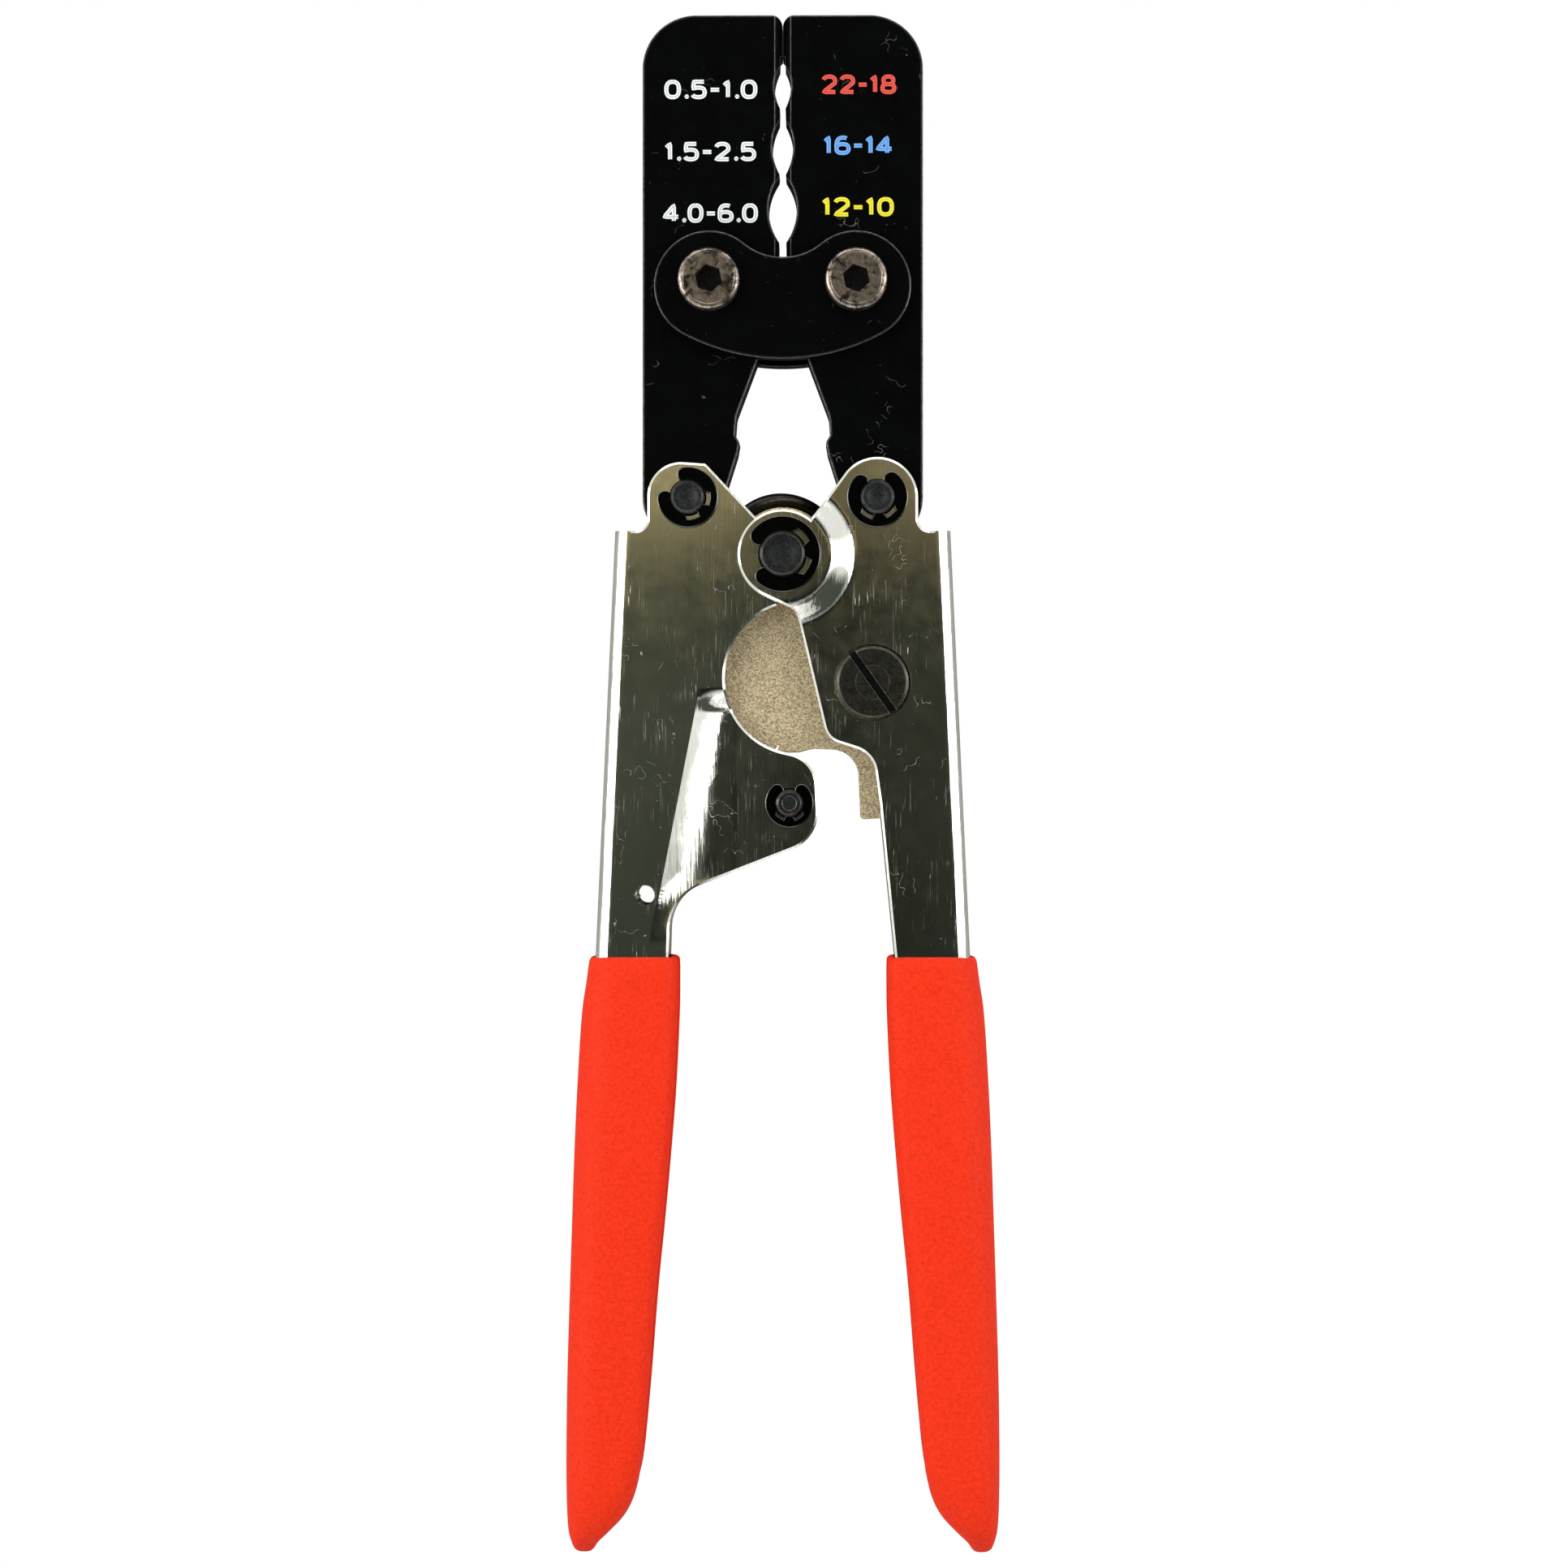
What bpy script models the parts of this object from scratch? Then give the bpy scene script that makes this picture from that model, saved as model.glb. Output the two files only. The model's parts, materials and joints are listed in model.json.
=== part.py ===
"""Ratchet crimping tool with two jaws on link plates, two channel handles and dipped grips.

It lies flat and closed: +X to the right, +Y towards the jaw tips, +Z up. The pieces are set out
round the handles' pivot, and one empty then puts the whole tool on the ground.
"""

from math import atan2, ceil, cos, degrees, hypot, pi, radians, sin, tan

import bmesh
import bpy
from mathutils import Matrix, Vector

MM = 0.001

# Fits
FACE_GAP = 0.25 * MM  # between flat faces that slide or lie on each other
PIN_FIT = 0.15 * MM  # round a pin in its hole
LINK_SLACK = 0.55 * MM  # round the left link screw in the left jaw
SLEEVE_GAP = 0.3 * MM  # between a grip and the channel inside it

# Stack through the tool
JAW_THICKNESS = 9.0 * MM
SHEET = 1.8 * MM
LINK_THICKNESS = 3.0 * MM
RATCHET_THICKNESS = 3.9 * MM
PAWL_THICKNESS = 4.4 * MM
PAWL_GAP = 0.35 * MM
CLIP_THICKNESS = 0.9 * MM
HEAD_THICKNESS = 1.25 * MM
PIN_END = 0.9 * MM  # pin that stands past its clip

# Pivots, on the right-hand side
LINK_X = 12.0 * MM
LINK_Y = 44.7 * MM
EAR_X = 15.5 * MM
EAR_Y = 9.4 * MM
PAWL_X = 1.1 * MM
PAWL_Y = -40.6 * MM
ADJUSTER_X = 14.7 * MM
ADJUSTER_Y = -20.8 * MM
ANCHOR_X = -22.5 * MM
ANCHOR_Y = -55.6 * MM

# Pin radii
PIVOT_R = 3.65 * MM
EAR_PIN_R = 2.75 * MM
PAWL_PIN_R = 2.2 * MM
LINK_SHANK_R = 3.85 * MM
CLIP_BITE = 0.55 * MM  # depth of a clip's groove

# Jaws
JAW_OUTER = 23.0 * MM
JAW_TOP = 88.7 * MM
JAW_CORNER_R = 8.8 * MM
JAW_EDGE = 0.45 * MM
TIP_GAP = 0.15 * MM  # from the middle to the land at each tip
TIP_LAND = 6.5 * MM  # from the jaw's top to the land's end
FACE_TOP_GAP = 0.42 * MM
FACE_FOOT_GAP = 0.62 * MM
FACE_FOOT = 49.0 * MM
TAIL_R = 7.0 * MM
# Nests: distance down from the jaw's top, width across both jaws, length
NESTS = (
    (12.4 * MM, 2.7 * MM, 6.1 * MM),
    (22.2 * MM, 3.3 * MM, 8.9 * MM),
    (32.6 * MM, 4.6 * MM, 10.9 * MM),
)

# Link plates
LOBE_DROP = 0.8 * MM  # lobe centre below the link pivot
LOBE_R = 9.0 * MM
LINK_WAIST = 12.3 * MM  # lowest point below the link pivot
LINK_VALLEY = 4.3 * MM  # valley above the link pivot
LINK_EDGE = 0.7 * MM

# Link screws
SCREW_HEAD_R = 5.05 * MM
SCREW_HEAD = 3.0 * MM
SOCKET_FLATS = 4.0 * MM
SOCKET_DEPTH = 2.0 * MM

# Handles
CHANNEL_TOP = 3.9 * MM
CHANNEL_X = 27.5 * MM  # outer face of the web at the channel's top
CHANNEL_SLOPE = 0.0461  # sideways per length, going down
BEND_R = 2.4 * MM
TANG_END = -140.0 * MM
TANG_WIDTH = 9.5 * MM  # at the tang's end
GRIP_TOP = -65.8 * MM
EAR_SIDE = 22.1 * MM
BOSS_R = 7.3 * MM
JOGGLE_IN_R = 7.9 * MM
JOGGLE_OUT_R = 12.1 * MM
HUB_R = 7.0 * MM
WINDOW_X = 2.95 * MM
WINDOW_Y = -20.1 * MM
WINDOW_R = 12.45 * MM
ANCHOR_R = 1.65 * MM

# Ratchet
PLATE_HUB_R = 7.95 * MM
TOOTH_TIP_R = 32.3 * MM
TOOTH_DEPTH = 1.3 * MM
TEETH = 12
TEETH_FROM = -87.0
TEETH_TO = -136.0
PAWL_TIP_GAP = 0.35 * MM
ADJUSTER_R = 5.95 * MM
ADJUSTER_FIT = 0.25 * MM
CAM_R = 4.0 * MM
CAM_OFFSET = 0.6 * MM
SLOT_WIDTH = 1.2 * MM
SLOT_DEPTH = 0.9 * MM
SLOT_ANGLE = -55.0
STUD_R = 3.0 * MM
NUT_FLATS = 10.0 * MM
NUT_HEIGHT = 2.7 * MM

# Springs
COIL_R = 9.35 * MM
COIL_WIRE_R = 1.05 * MM
LEG_LENGTH = 33.0 * MM
LEG_ANGLE = 30.0  # where a leg leaves the coil, from +X
COIL_STEP = 8.0
COIL_MIDDLE = -1.15 * MM  # level at which the coil passes above the right leg
TOP_DROP = (25.0, 95.0)  # turn at which the coil leaves the front, and how long that takes
SIDE_DROP = (147.0, 20.0)  # the same for going behind the ratchet plate
PAWL_SPRING_R = 1.7 * MM
PAWL_SPRING_WIRE_R = 0.4 * MM
PAWL_ARM = 7.6 * MM
PAWL_ARM_ANGLE = 208.0

# Grips, right-hand side: y, inner x, outer x and half thickness as a share of the thickest
GRIP_STATIONS = (
    (-65.8, 17.6, 31.4, 0.77),
    (-66.4, 17.1, 31.9, 0.81),
    (-74.8, 17.1, 33.1, 0.86),
    (-87.5, 17.7, 33.9, 0.92),
    (-99.0, 18.6, 34.4, 0.97),
    (-110.0, 19.6, 34.75, 0.99),
    (-121.0, 20.7, 35.1, 1.0),
    (-135.0, 21.8, 35.5, 1.0),
    (-146.0, 22.8, 35.65, 0.99),
    (-151.0, 23.4, 35.65, 0.97),
    (-154.6, 24.4, 35.6, 0.92),
    (-157.6, 26.0, 35.5, 0.84),
    (-160.2, 28.4, 35.3, 0.71),
    (-162.2, 30.4, 34.8, 0.52),
    (-163.6, 31.4, 33.9, 0.28),
)
GRIP_SQUARENESS = 2.9
GRIP_SIDES = 20

# Levels worked out from the stack, above and below the middle plane
JAW_FACE = JAW_THICKNESS / 2
FLANGE_IN = JAW_FACE + FACE_GAP
FLANGE_OUT = FLANGE_IN + SHEET
BOSS_STEP = SHEET + FACE_GAP
BOSS_OUT = FLANGE_OUT + BOSS_STEP
LOBE_STEP = FLANGE_IN - PAWL_THICKNESS / 2 - PAWL_GAP
LOBE_OUT = FLANGE_OUT - LOBE_STEP
LINK_OUT = FLANGE_IN + LINK_THICKNESS
PLATE_FACE = RATCHET_THICKNESS / 2
HUB_FACE = FLANGE_IN - FACE_GAP
COIL_LEVEL = (PLATE_FACE + FLANGE_IN) / 2
REST_LEVEL = BOSS_OUT + FACE_GAP + HEAD_THICKNESS
GRIP_HALF = REST_LEVEL

ARC_STEP = 15.0
CIRCLE_SIDES = 24
TURN_STEPS = 28

PIVOT = (0.0, 0.0)
RIGHT_EAR = (EAR_X, EAR_Y)
LEFT_EAR = (-EAR_X, EAR_Y)
RIGHT_LINK = (LINK_X, LINK_Y)
LEFT_LINK = (-LINK_X, LINK_Y)
PAWL_PIVOT = (PAWL_X, PAWL_Y)
ADJUSTER = (ADJUSTER_X, ADJUSTER_Y)
ANCHOR = (ANCHOR_X, ANCHOR_Y)


# Outlines


def arc(centre, radius, start, end, step=ARC_STEP):
    """Points on a circle from one angle to another, in degrees."""
    count = max(1, ceil(abs(end - start) / step))
    angles = (radians(start + (end - start) * i / count) for i in range(count + 1))
    return [(centre[0] + radius * cos(a), centre[1] + radius * sin(a)) for a in angles]


def circle(centre, radius, sides=CIRCLE_SIDES):
    return arc(centre, radius, 0, 360, 360 / sides)[:-1]


def rounded(corners):
    """A closed outline from (x, y, corner radius), where a zero radius keeps the corner."""
    points = []
    for i, (x, y, radius) in enumerate(corners):
        if radius == 0:
            points.append((x, y))
            continue
        here = Vector((x, y))
        back = (Vector(corners[i - 1][:2]) - here).normalized()
        ahead = (Vector(corners[(i + 1) % len(corners)][:2]) - here).normalized()
        half = back.angle(ahead) / 2
        centre = here + (back + ahead).normalized() * (radius / sin(half))
        start = here + back * (radius / tan(half)) - centre
        end = here + ahead * (radius / tan(half)) - centre
        first = degrees(atan2(start.y, start.x))
        turn = (degrees(atan2(end.y, end.x)) - first + 180) % 360 - 180
        points += arc(centre, radius, first, first + turn)
    return points


def plain(points):
    """Points as corners with no rounding."""
    return [(x, y, 0.0) for x, y in points]


def mm(corners):
    """Corners given in millimetres, in metres."""
    return [tuple(v * MM for v in corner) for corner in corners]


def mirrored(points):
    return [(-x, y) for x, y in points]


def about(points, centre):
    """Points moved so that the centre is at zero."""
    return [(x - centre[0], y - centre[1]) for x, y in points]


def angle_to(start, end):
    return degrees(atan2(end[1] - start[1], end[0] - start[0]))


# Scene helpers


def clear_scene():
    for obj in list(bpy.data.objects):
        bpy.data.objects.remove(obj)


def collection(name, hidden=False):
    made = bpy.data.collections.new(name)
    made.hide_render = hidden
    bpy.context.scene.collection.children.link(made)
    return made


def material(name, color, metallic, roughness):
    made = bpy.data.materials.new(name)
    made.use_nodes = True
    shader = made.node_tree.nodes["Principled BSDF"]
    shader.inputs["Base Color"].default_value = (*color, 1.0)
    shader.inputs["Metallic"].default_value = metallic
    shader.inputs["Roughness"].default_value = roughness
    return made


def add_object(name, data, place=(0.0, 0.0), group=None):
    obj = bpy.data.objects.new(name, data)
    obj.location = (*place, 0.0)
    (group or PARTS).objects.link(obj)
    return obj


def finish(obj, finish_material):
    """Puts a piece in the tool's frame with its material and smooth shading."""
    obj.parent = FRAME
    obj.data.materials.clear()
    obj.data.materials.append(finish_material)
    obj.data.shade_smooth()
    obj.data.set_sharp_from_angle(angle=radians(30))
    return obj


def mesh_from(curve_object):
    """The curve's shape as one welded mesh, on a new object in the same place."""
    bpy.context.view_layer.update()
    graph = bpy.context.evaluated_depsgraph_get()
    data = bpy.data.meshes.new_from_object(curve_object.evaluated_get(graph))
    shape = bmesh.new()
    shape.from_mesh(data)
    bmesh.ops.remove_doubles(shape, verts=shape.verts, dist=1e-6)
    bmesh.ops.recalc_face_normals(shape, faces=shape.faces)
    shape.to_mesh(data)
    shape.free()
    name = curve_object.name
    curve_object.name = name + "_curve"
    made = bpy.data.objects.new(name, data)
    made.matrix_world = curve_object.matrix_world.copy()
    curve_object.users_collection[0].objects.link(made)
    bpy.data.objects.remove(curve_object)
    return made


def flat_curve(name, outlines, place, half, group=None):
    curve = bpy.data.curves.new(name, "CURVE")
    curve.dimensions = "2D"
    curve.fill_mode = "BOTH"
    curve.extrude = half
    for outline in outlines:
        spline = curve.splines.new("POLY")
        spline.points.add(len(outline) - 1)
        for point, (x, y) in zip(spline.points, about(outline, place)):
            point.co = (x, y, 0, 1)
        spline.use_cyclic_u = True
    return add_object(name, curve, place, group)


def plate(name, outlines, place, low, high, group=None):
    """A flat piece between two levels. The first outline is its edge and the rest are holes."""
    obj = mesh_from(flat_curve(name, outlines, place, (high - low) / 2, group))
    obj.data.transform(Matrix.Translation((0, 0, (low + high) / 2)))
    return obj


def ease_rims(obj, width, segments, levels):
    """Bevels the edges that run round the piece's flat faces at these levels."""
    shape = bmesh.new()
    shape.from_mesh(obj.data)
    rims = [
        edge
        for edge in shape.edges
        if any(all(abs(v.co.z - z) < 1e-6 for v in edge.verts) for z in levels)
        and edge.calc_face_angle() > radians(60)
    ]
    bmesh.ops.bevel(
        shape, geom=rims, offset=width, affect="EDGES", segments=segments, profile=0.5, material=-1
    )
    shape.to_mesh(obj.data)
    shape.free()


def turned(name, profile, place, closed=False, group=None):
    """A turned piece from (radius, level), running down its outer side."""
    data = bpy.data.meshes.new(name)
    ends = [(i, i + 1) for i in range(len(profile) - 1)]
    if closed:
        ends.append((len(profile) - 1, 0))
    data.from_pydata([(r, 0, z) for r, z in profile], ends, [])
    obj = add_object(name, data, place, group)
    screw = obj.modifiers.new("turn", "SCREW")
    screw.steps = TURN_STEPS
    screw.render_steps = TURN_STEPS
    screw.use_merge_vertices = True
    screw.merge_threshold = 1e-5
    return obj


def prism(name, sides, flats, low, high, place):
    """A prism with so many sides, measured across its flats."""
    shape = bmesh.new()
    radius = flats / 2 / cos(pi / sides)
    bmesh.ops.create_cone(
        shape, cap_ends=True, segments=sides, radius1=radius, radius2=radius, depth=high - low
    )
    bmesh.ops.translate(shape, vec=(0, 0, (low + high) / 2), verts=shape.verts)
    data = bpy.data.meshes.new(name)
    shape.to_mesh(data)
    shape.free()
    return add_object(name, data, place)


def box(name, size, centre, angle):
    shape = bmesh.new()
    bmesh.ops.create_cube(shape, size=1)
    bmesh.ops.scale(shape, vec=size, verts=shape.verts)
    turn = Matrix.Rotation(radians(angle), 4, "Z")
    shape.transform(Matrix.Translation(centre) @ turn)
    data = bpy.data.meshes.new(name)
    shape.to_mesh(data)
    shape.free()
    return add_object(name, data)


def combine(obj, other, operation):
    """A Boolean with a helper object, which moves to the cutters' collection."""
    other.parent = FRAME
    other.users_collection[0].objects.unlink(other)
    CUTTERS.objects.link(other)
    other.hide_render = True
    other.display_type = "WIRE"
    boolean = obj.modifiers.new(other.name, "BOOLEAN")
    boolean.object = other
    boolean.operation = operation
    boolean.solver = "EXACT"


# Jaws and links


def nest_arc(depth, half_length, middle, face_x):
    """One nest's hollow in the left jaw's face, from its top to its foot."""
    radius = (half_length**2 + depth**2) / (2 * depth)
    centre = (face_x - depth + radius, middle)
    reach = degrees(atan2(half_length, radius - depth))
    return arc(centre, radius, 180 - reach, 180 + reach, 14)


def left_jaw_outline():
    face_length = JAW_TOP - TIP_LAND - FACE_FOOT

    def face_x(y):
        share = (JAW_TOP - TIP_LAND - y) / face_length
        return -(FACE_TOP_GAP + (FACE_FOOT_GAP - FACE_TOP_GAP) * share)

    outline = [(-JAW_OUTER, JAW_TOP, JAW_CORNER_R), (-TIP_GAP, JAW_TOP, 1.8 * MM)]
    land_end = JAW_TOP - TIP_LAND
    outline += [(-TIP_GAP, land_end, 0), (face_x(land_end), land_end - 0.4 * MM, 0)]
    for drop, width, length in NESTS:
        y = JAW_TOP - drop
        depth = width / 2 + face_x(y)
        outline += plain(nest_arc(depth, length / 2, y, face_x(y)))
    tail_x = -EAR_X - (JAW_OUTER - EAR_X - TAIL_R)
    outline += [
        (face_x(FACE_FOOT), FACE_FOOT, 0),
        (-4.0 * MM, LINK_Y - 12.3 * MM, 0),
        (-7.6 * MM, EAR_Y + 13.4 * MM, 4 * MM),
        (-7.8 * MM, EAR_Y + 10.4 * MM, 0),
        (-7.1 * MM, EAR_Y + 9.2 * MM, 0),
        (-7.4 * MM, EAR_Y + 7.4 * MM, 0),
    ]
    outline += plain(arc((tail_x, EAR_Y), TAIL_R, 14, -180))
    return rounded(outline)


def jaw(name, side):
    """A jaw, with side -1 for the left. The left one has the roomy link hole."""
    slack = LINK_SLACK if side < 0 else PIN_FIT
    outlines = [
        left_jaw_outline(),
        circle(LEFT_LINK, LINK_SHANK_R + slack),
        circle(LEFT_EAR, EAR_PIN_R + PIN_FIT),
    ]
    if side > 0:
        outlines = [mirrored(outline) for outline in outlines]
    obj = plate(name, outlines, (side * EAR_X, EAR_Y), -JAW_FACE, JAW_FACE)
    ease_rims(obj, JAW_EDGE, 1, (-JAW_FACE, JAW_FACE))
    return finish(obj, BLACK_OXIDE)


def link_outline():
    """Two lobes, a valley between them and one wide arc underneath."""
    lobe_y = LINK_Y - LOBE_DROP
    foot = LINK_Y - LINK_WAIST
    valley = LINK_Y + LINK_VALLEY
    rise = lobe_y - foot
    # The wide arc touches both lobes from outside, and the valley's arc lies between them.
    wide_r = (LINK_X**2 + rise**2 - LOBE_R**2) / (2 * (rise - LOBE_R))
    wide = (0.0, foot + wide_r)
    dip = valley - lobe_y
    valley_r = (LINK_X**2 + dip**2 - LOBE_R**2) / (2 * (LOBE_R - dip))
    top = (0.0, valley + valley_r)
    right = (LINK_X, lobe_y)
    left = (-LINK_X, lobe_y)
    low_angle = angle_to(wide, right)
    high_angle = angle_to(right, top)
    points = arc(wide, wide_r, -180 - low_angle, low_angle, 6)
    points += arc(right, LOBE_R, low_angle, high_angle)[1:]
    points += arc(top, valley_r, high_angle - 180, -high_angle)[1:]
    points += arc(left, LOBE_R, 180 - high_angle, 180 - low_angle)[1:-1]
    return points


def link_plate(name, low, high, outer):
    holes = [circle(place, LINK_SHANK_R + PIN_FIT) for place in (LEFT_LINK, RIGHT_LINK)]
    obj = plate(name, [link_outline(), *holes], RIGHT_LINK, low, high)
    ease_rims(obj, LINK_EDGE, 2, (outer,))
    return finish(obj, BLACK_OXIDE)


def link_screw(name, place):
    """A socket screw whose shank ends inside the rear plate."""
    seat = LINK_OUT + FACE_GAP
    top = seat + SCREW_HEAD
    low = FACE_GAP - LINK_OUT
    profile = [
        (0, top),
        (SCREW_HEAD_R * 0.66, top),
        (SCREW_HEAD_R * 0.86, top - 0.45 * MM),
        (SCREW_HEAD_R * 0.97, top - 1.2 * MM),
        (SCREW_HEAD_R, top - 1.9 * MM),
        (SCREW_HEAD_R, seat),
        (LINK_SHANK_R, seat),
        (LINK_SHANK_R, low + 0.5 * MM),
        (LINK_SHANK_R - 0.5 * MM, low),
        (0, low),
    ]
    obj = turned(name, profile, place)
    cutter = prism(name + "_socket", 6, SOCKET_FLATS, top - SOCKET_DEPTH, top + 1 * MM, place)
    combine(obj, cutter, "DIFFERENCE")
    return finish(obj, NICKEL)


# Handles


def channel_edge(y):
    """Where the right handle's flange meets its bend at this height."""
    return CHANNEL_X - BEND_R + CHANNEL_SLOPE * (CHANNEL_TOP - y)


def tang_inner():
    return (channel_edge(TANG_END) + BEND_R - TANG_WIDTH, TANG_END)


def left_flange_outline():
    tang = tang_inner()
    window = (WINDOW_X, WINDOW_Y)
    ear_foot = 180 - angle_to(PIVOT, (4.0, 5.7))
    outline = [
        (-channel_edge(CHANNEL_TOP), CHANNEL_TOP, 0),
        (-channel_edge(TANG_END), TANG_END, 0),
        (-tang[0], tang[1], 0),
        (-18.7 * MM, GRIP_TOP, 0),
    ]
    outline += mm([(-18.4, -55.9, 8.0), (6.0, -46.4, 6.5), (5.4, -33.4, 5.5)])
    outline += plain(arc(window, WINDOW_R, 254.8, 108.0))
    outline += plain(arc(PIVOT, HUB_R, -92, ear_foot))
    outline += [
        (-EAR_X + 2.9 * MM, EAR_Y + 5.5 * MM, 0.8 * MM),
        (-EAR_SIDE, EAR_Y + 6.2 * MM, 5.5 * MM),
        (-EAR_SIDE, CHANNEL_TOP + 0.1 * MM, 2.0 * MM),
    ]
    return rounded(outline)


def right_flange_outline():
    tang = tang_inner()
    ear_r = EAR_SIDE - EAR_X
    boss_start = angle_to(PIVOT, (4.6, 5.7))
    outline = [(channel_edge(CHANNEL_TOP), CHANNEL_TOP, 0)]
    outline += [(EAR_SIDE, CHANNEL_TOP + 0.1 * MM, 2.0 * MM)]
    outline += plain(arc(RIGHT_EAR, ear_r, 0, 141))
    outline += plain(arc(PIVOT, BOSS_R, boss_start, 243))
    outline += mm([(2.3, -9.2, 3.5), (7.3, -30.1, 3.5), (14.8, -32.5, 4.5), (15.9, -40.4, 0)])
    outline += [(18.4 * MM, GRIP_TOP, 0), (*tang, 0), (channel_edge(TANG_END), TANG_END, 0)]
    return rounded(outline)


def cut_sheet(shape, point, normal, near=None):
    """Cuts the sheet along a line, or only the faces near a centre."""
    faces = [
        face
        for face in shape.faces
        if near is None
        or any(hypot(v.co.x, v.co.y) < near for v in face.verts)
        or hypot(*face.calc_center_median().xy) < near
    ]
    edges = {edge for face in faces for edge in face.edges}
    verts = {vert for face in faces for vert in face.verts}
    bmesh.ops.bisect_plane(
        shape, geom=[*verts, *edges, *faces], plane_co=(*point, 0), plane_no=(*normal, 0), dist=1e-7
    )


def share_past(point, line, width):
    """How far a point is across a ramp, 0 before its line to 1 past its width."""
    start, normal = line
    across = (point.x - start[0]) * normal[0] + (point.y - start[1]) * normal[1]
    return min(1.0, max(0.0, across / width))


def press_boss(shape):
    """Steps the right flange outwards round the pivot, with facets for the ramp."""
    facets = [-105 + 15 * i for i in range(13)]
    normals = [(cos(radians(a)), sin(radians(a))) for a in facets]
    reach = JOGGLE_OUT_R * 1.5
    for radius in (JOGGLE_IN_R, JOGGLE_OUT_R):
        for x, y in normals:
            cut_sheet(shape, (x * radius, y * radius), (x, y), reach)
    for angle in facets[:-1]:
        ray = radians(angle + 7.5)
        cut_sheet(shape, PIVOT, (-sin(ray), cos(ray)), reach)
    for vert in shape.verts:
        distance = max(vert.co.x * x + vert.co.y * y for x, y in normals)
        share = (JOGGLE_OUT_R - distance) / (JOGGLE_OUT_R - JOGGLE_IN_R)
        vert.co.z += BOSS_STEP * min(1.0, max(0.0, share))


def press_lobe(shape):
    """Steps the left flange inwards to carry the pawl, past a crease down the channel."""
    crease = Vector((-13.7 * MM, -22.4 * MM))
    foot = Vector((-19.4 * MM, -56.5 * MM))
    along = (foot - crease).normalized()
    side = (-along.y, along.x)
    width = 5.6 * MM
    far = (crease.x + side[0] * width, crease.y + side[1] * width)
    depth = 4.2 * MM
    top = ((0.0, -21.6 * MM), (0.0, -1.0))
    low = ((0.0, -59.5 * MM), (0.0, 1.0))
    cut_sheet(shape, crease, side)
    cut_sheet(shape, far, side)
    for (_, y), (_, ahead) in (top, low):
        cut_sheet(shape, (0.0, y), (0.0, 1.0))
        cut_sheet(shape, (0.0, y + ahead * depth), (0.0, 1.0))
    for vert in shape.verts:
        across = share_past(vert.co, (crease, side), width)
        down = share_past(vert.co, top, depth)
        up = share_past(vert.co, low, depth)
        vert.co.z -= LOBE_STEP * min(across, down, up)


def channel(name, outline, holes, side, press):
    """A folded sheet: one flange, its bend and half the web, mirrored and thickened."""
    obj = flat_curve(name, [outline, *holes], PIVOT, 0)
    obj.data.fill_mode = "FRONT"
    obj = mesh_from(obj)
    shape = bmesh.new()
    shape.from_mesh(obj.data)
    bmesh.ops.translate(shape, vec=(0, 0, FLANGE_OUT), verts=shape.verts)
    press(shape)
    top = Vector((side * channel_edge(CHANNEL_TOP), CHANNEL_TOP, FLANGE_OUT))
    end = Vector((side * channel_edge(TANG_END), TANG_END, FLANGE_OUT))
    along = (end - top).normalized()
    line = [
        edge
        for edge in shape.edges
        if edge.is_boundary and all((v.co - top).cross(along).length < 1e-6 for v in edge.verts)
    ]
    centre = top - Vector((0, 0, BEND_R))
    bent = bmesh.ops.spin(
        shape, geom=line, cent=centre, axis=along, angle=-side * pi / 2, steps=4, use_duplicate=False
    )
    last = [item for item in bent["geom_last"] if isinstance(item, bmesh.types.BMEdge)]
    web = bmesh.ops.extrude_edge_only(shape, edges=last)
    for vert in web["geom"]:
        if isinstance(vert, bmesh.types.BMVert):
            vert.co.z = 0.0
    bmesh.ops.remove_doubles(shape, verts=shape.verts, dist=1e-6)
    bmesh.ops.recalc_face_normals(shape, faces=shape.faces)
    widest = max(shape.faces, key=lambda face: face.calc_area() * abs(face.normal.z))
    if widest.normal.z < 0:
        bmesh.ops.reverse_faces(shape, faces=shape.faces)
    shape.to_mesh(obj.data)
    shape.free()
    mirror = obj.modifiers.new("rear_half", "MIRROR")
    mirror.use_axis = (False, False, True)
    mirror.merge_threshold = 1e-5
    sheet = obj.modifiers.new("sheet", "SOLIDIFY")
    sheet.thickness = SHEET
    sheet.offset = -1.0
    sheet.use_even_offset = True
    return finish(obj, CHROME)


def left_handle():
    holes = [
        circle(PIVOT, PIVOT_R + PIN_FIT),
        circle(LEFT_EAR, EAR_PIN_R + PIN_FIT),
        circle(PAWL_PIVOT, PAWL_PIN_R + PIN_FIT),
        circle(ANCHOR, ANCHOR_R, 16),
    ]
    return channel("left_handle", left_flange_outline(), holes, -1, press_lobe)


def right_handle():
    holes = [
        circle(PIVOT, PIVOT_R + PIN_FIT),
        circle(RIGHT_EAR, EAR_PIN_R + PIN_FIT),
        circle(ADJUSTER, ADJUSTER_R + ADJUSTER_FIT),
    ]
    return channel("right_handle", right_flange_outline(), holes, 1, press_boss)


# Pins and clips


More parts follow.
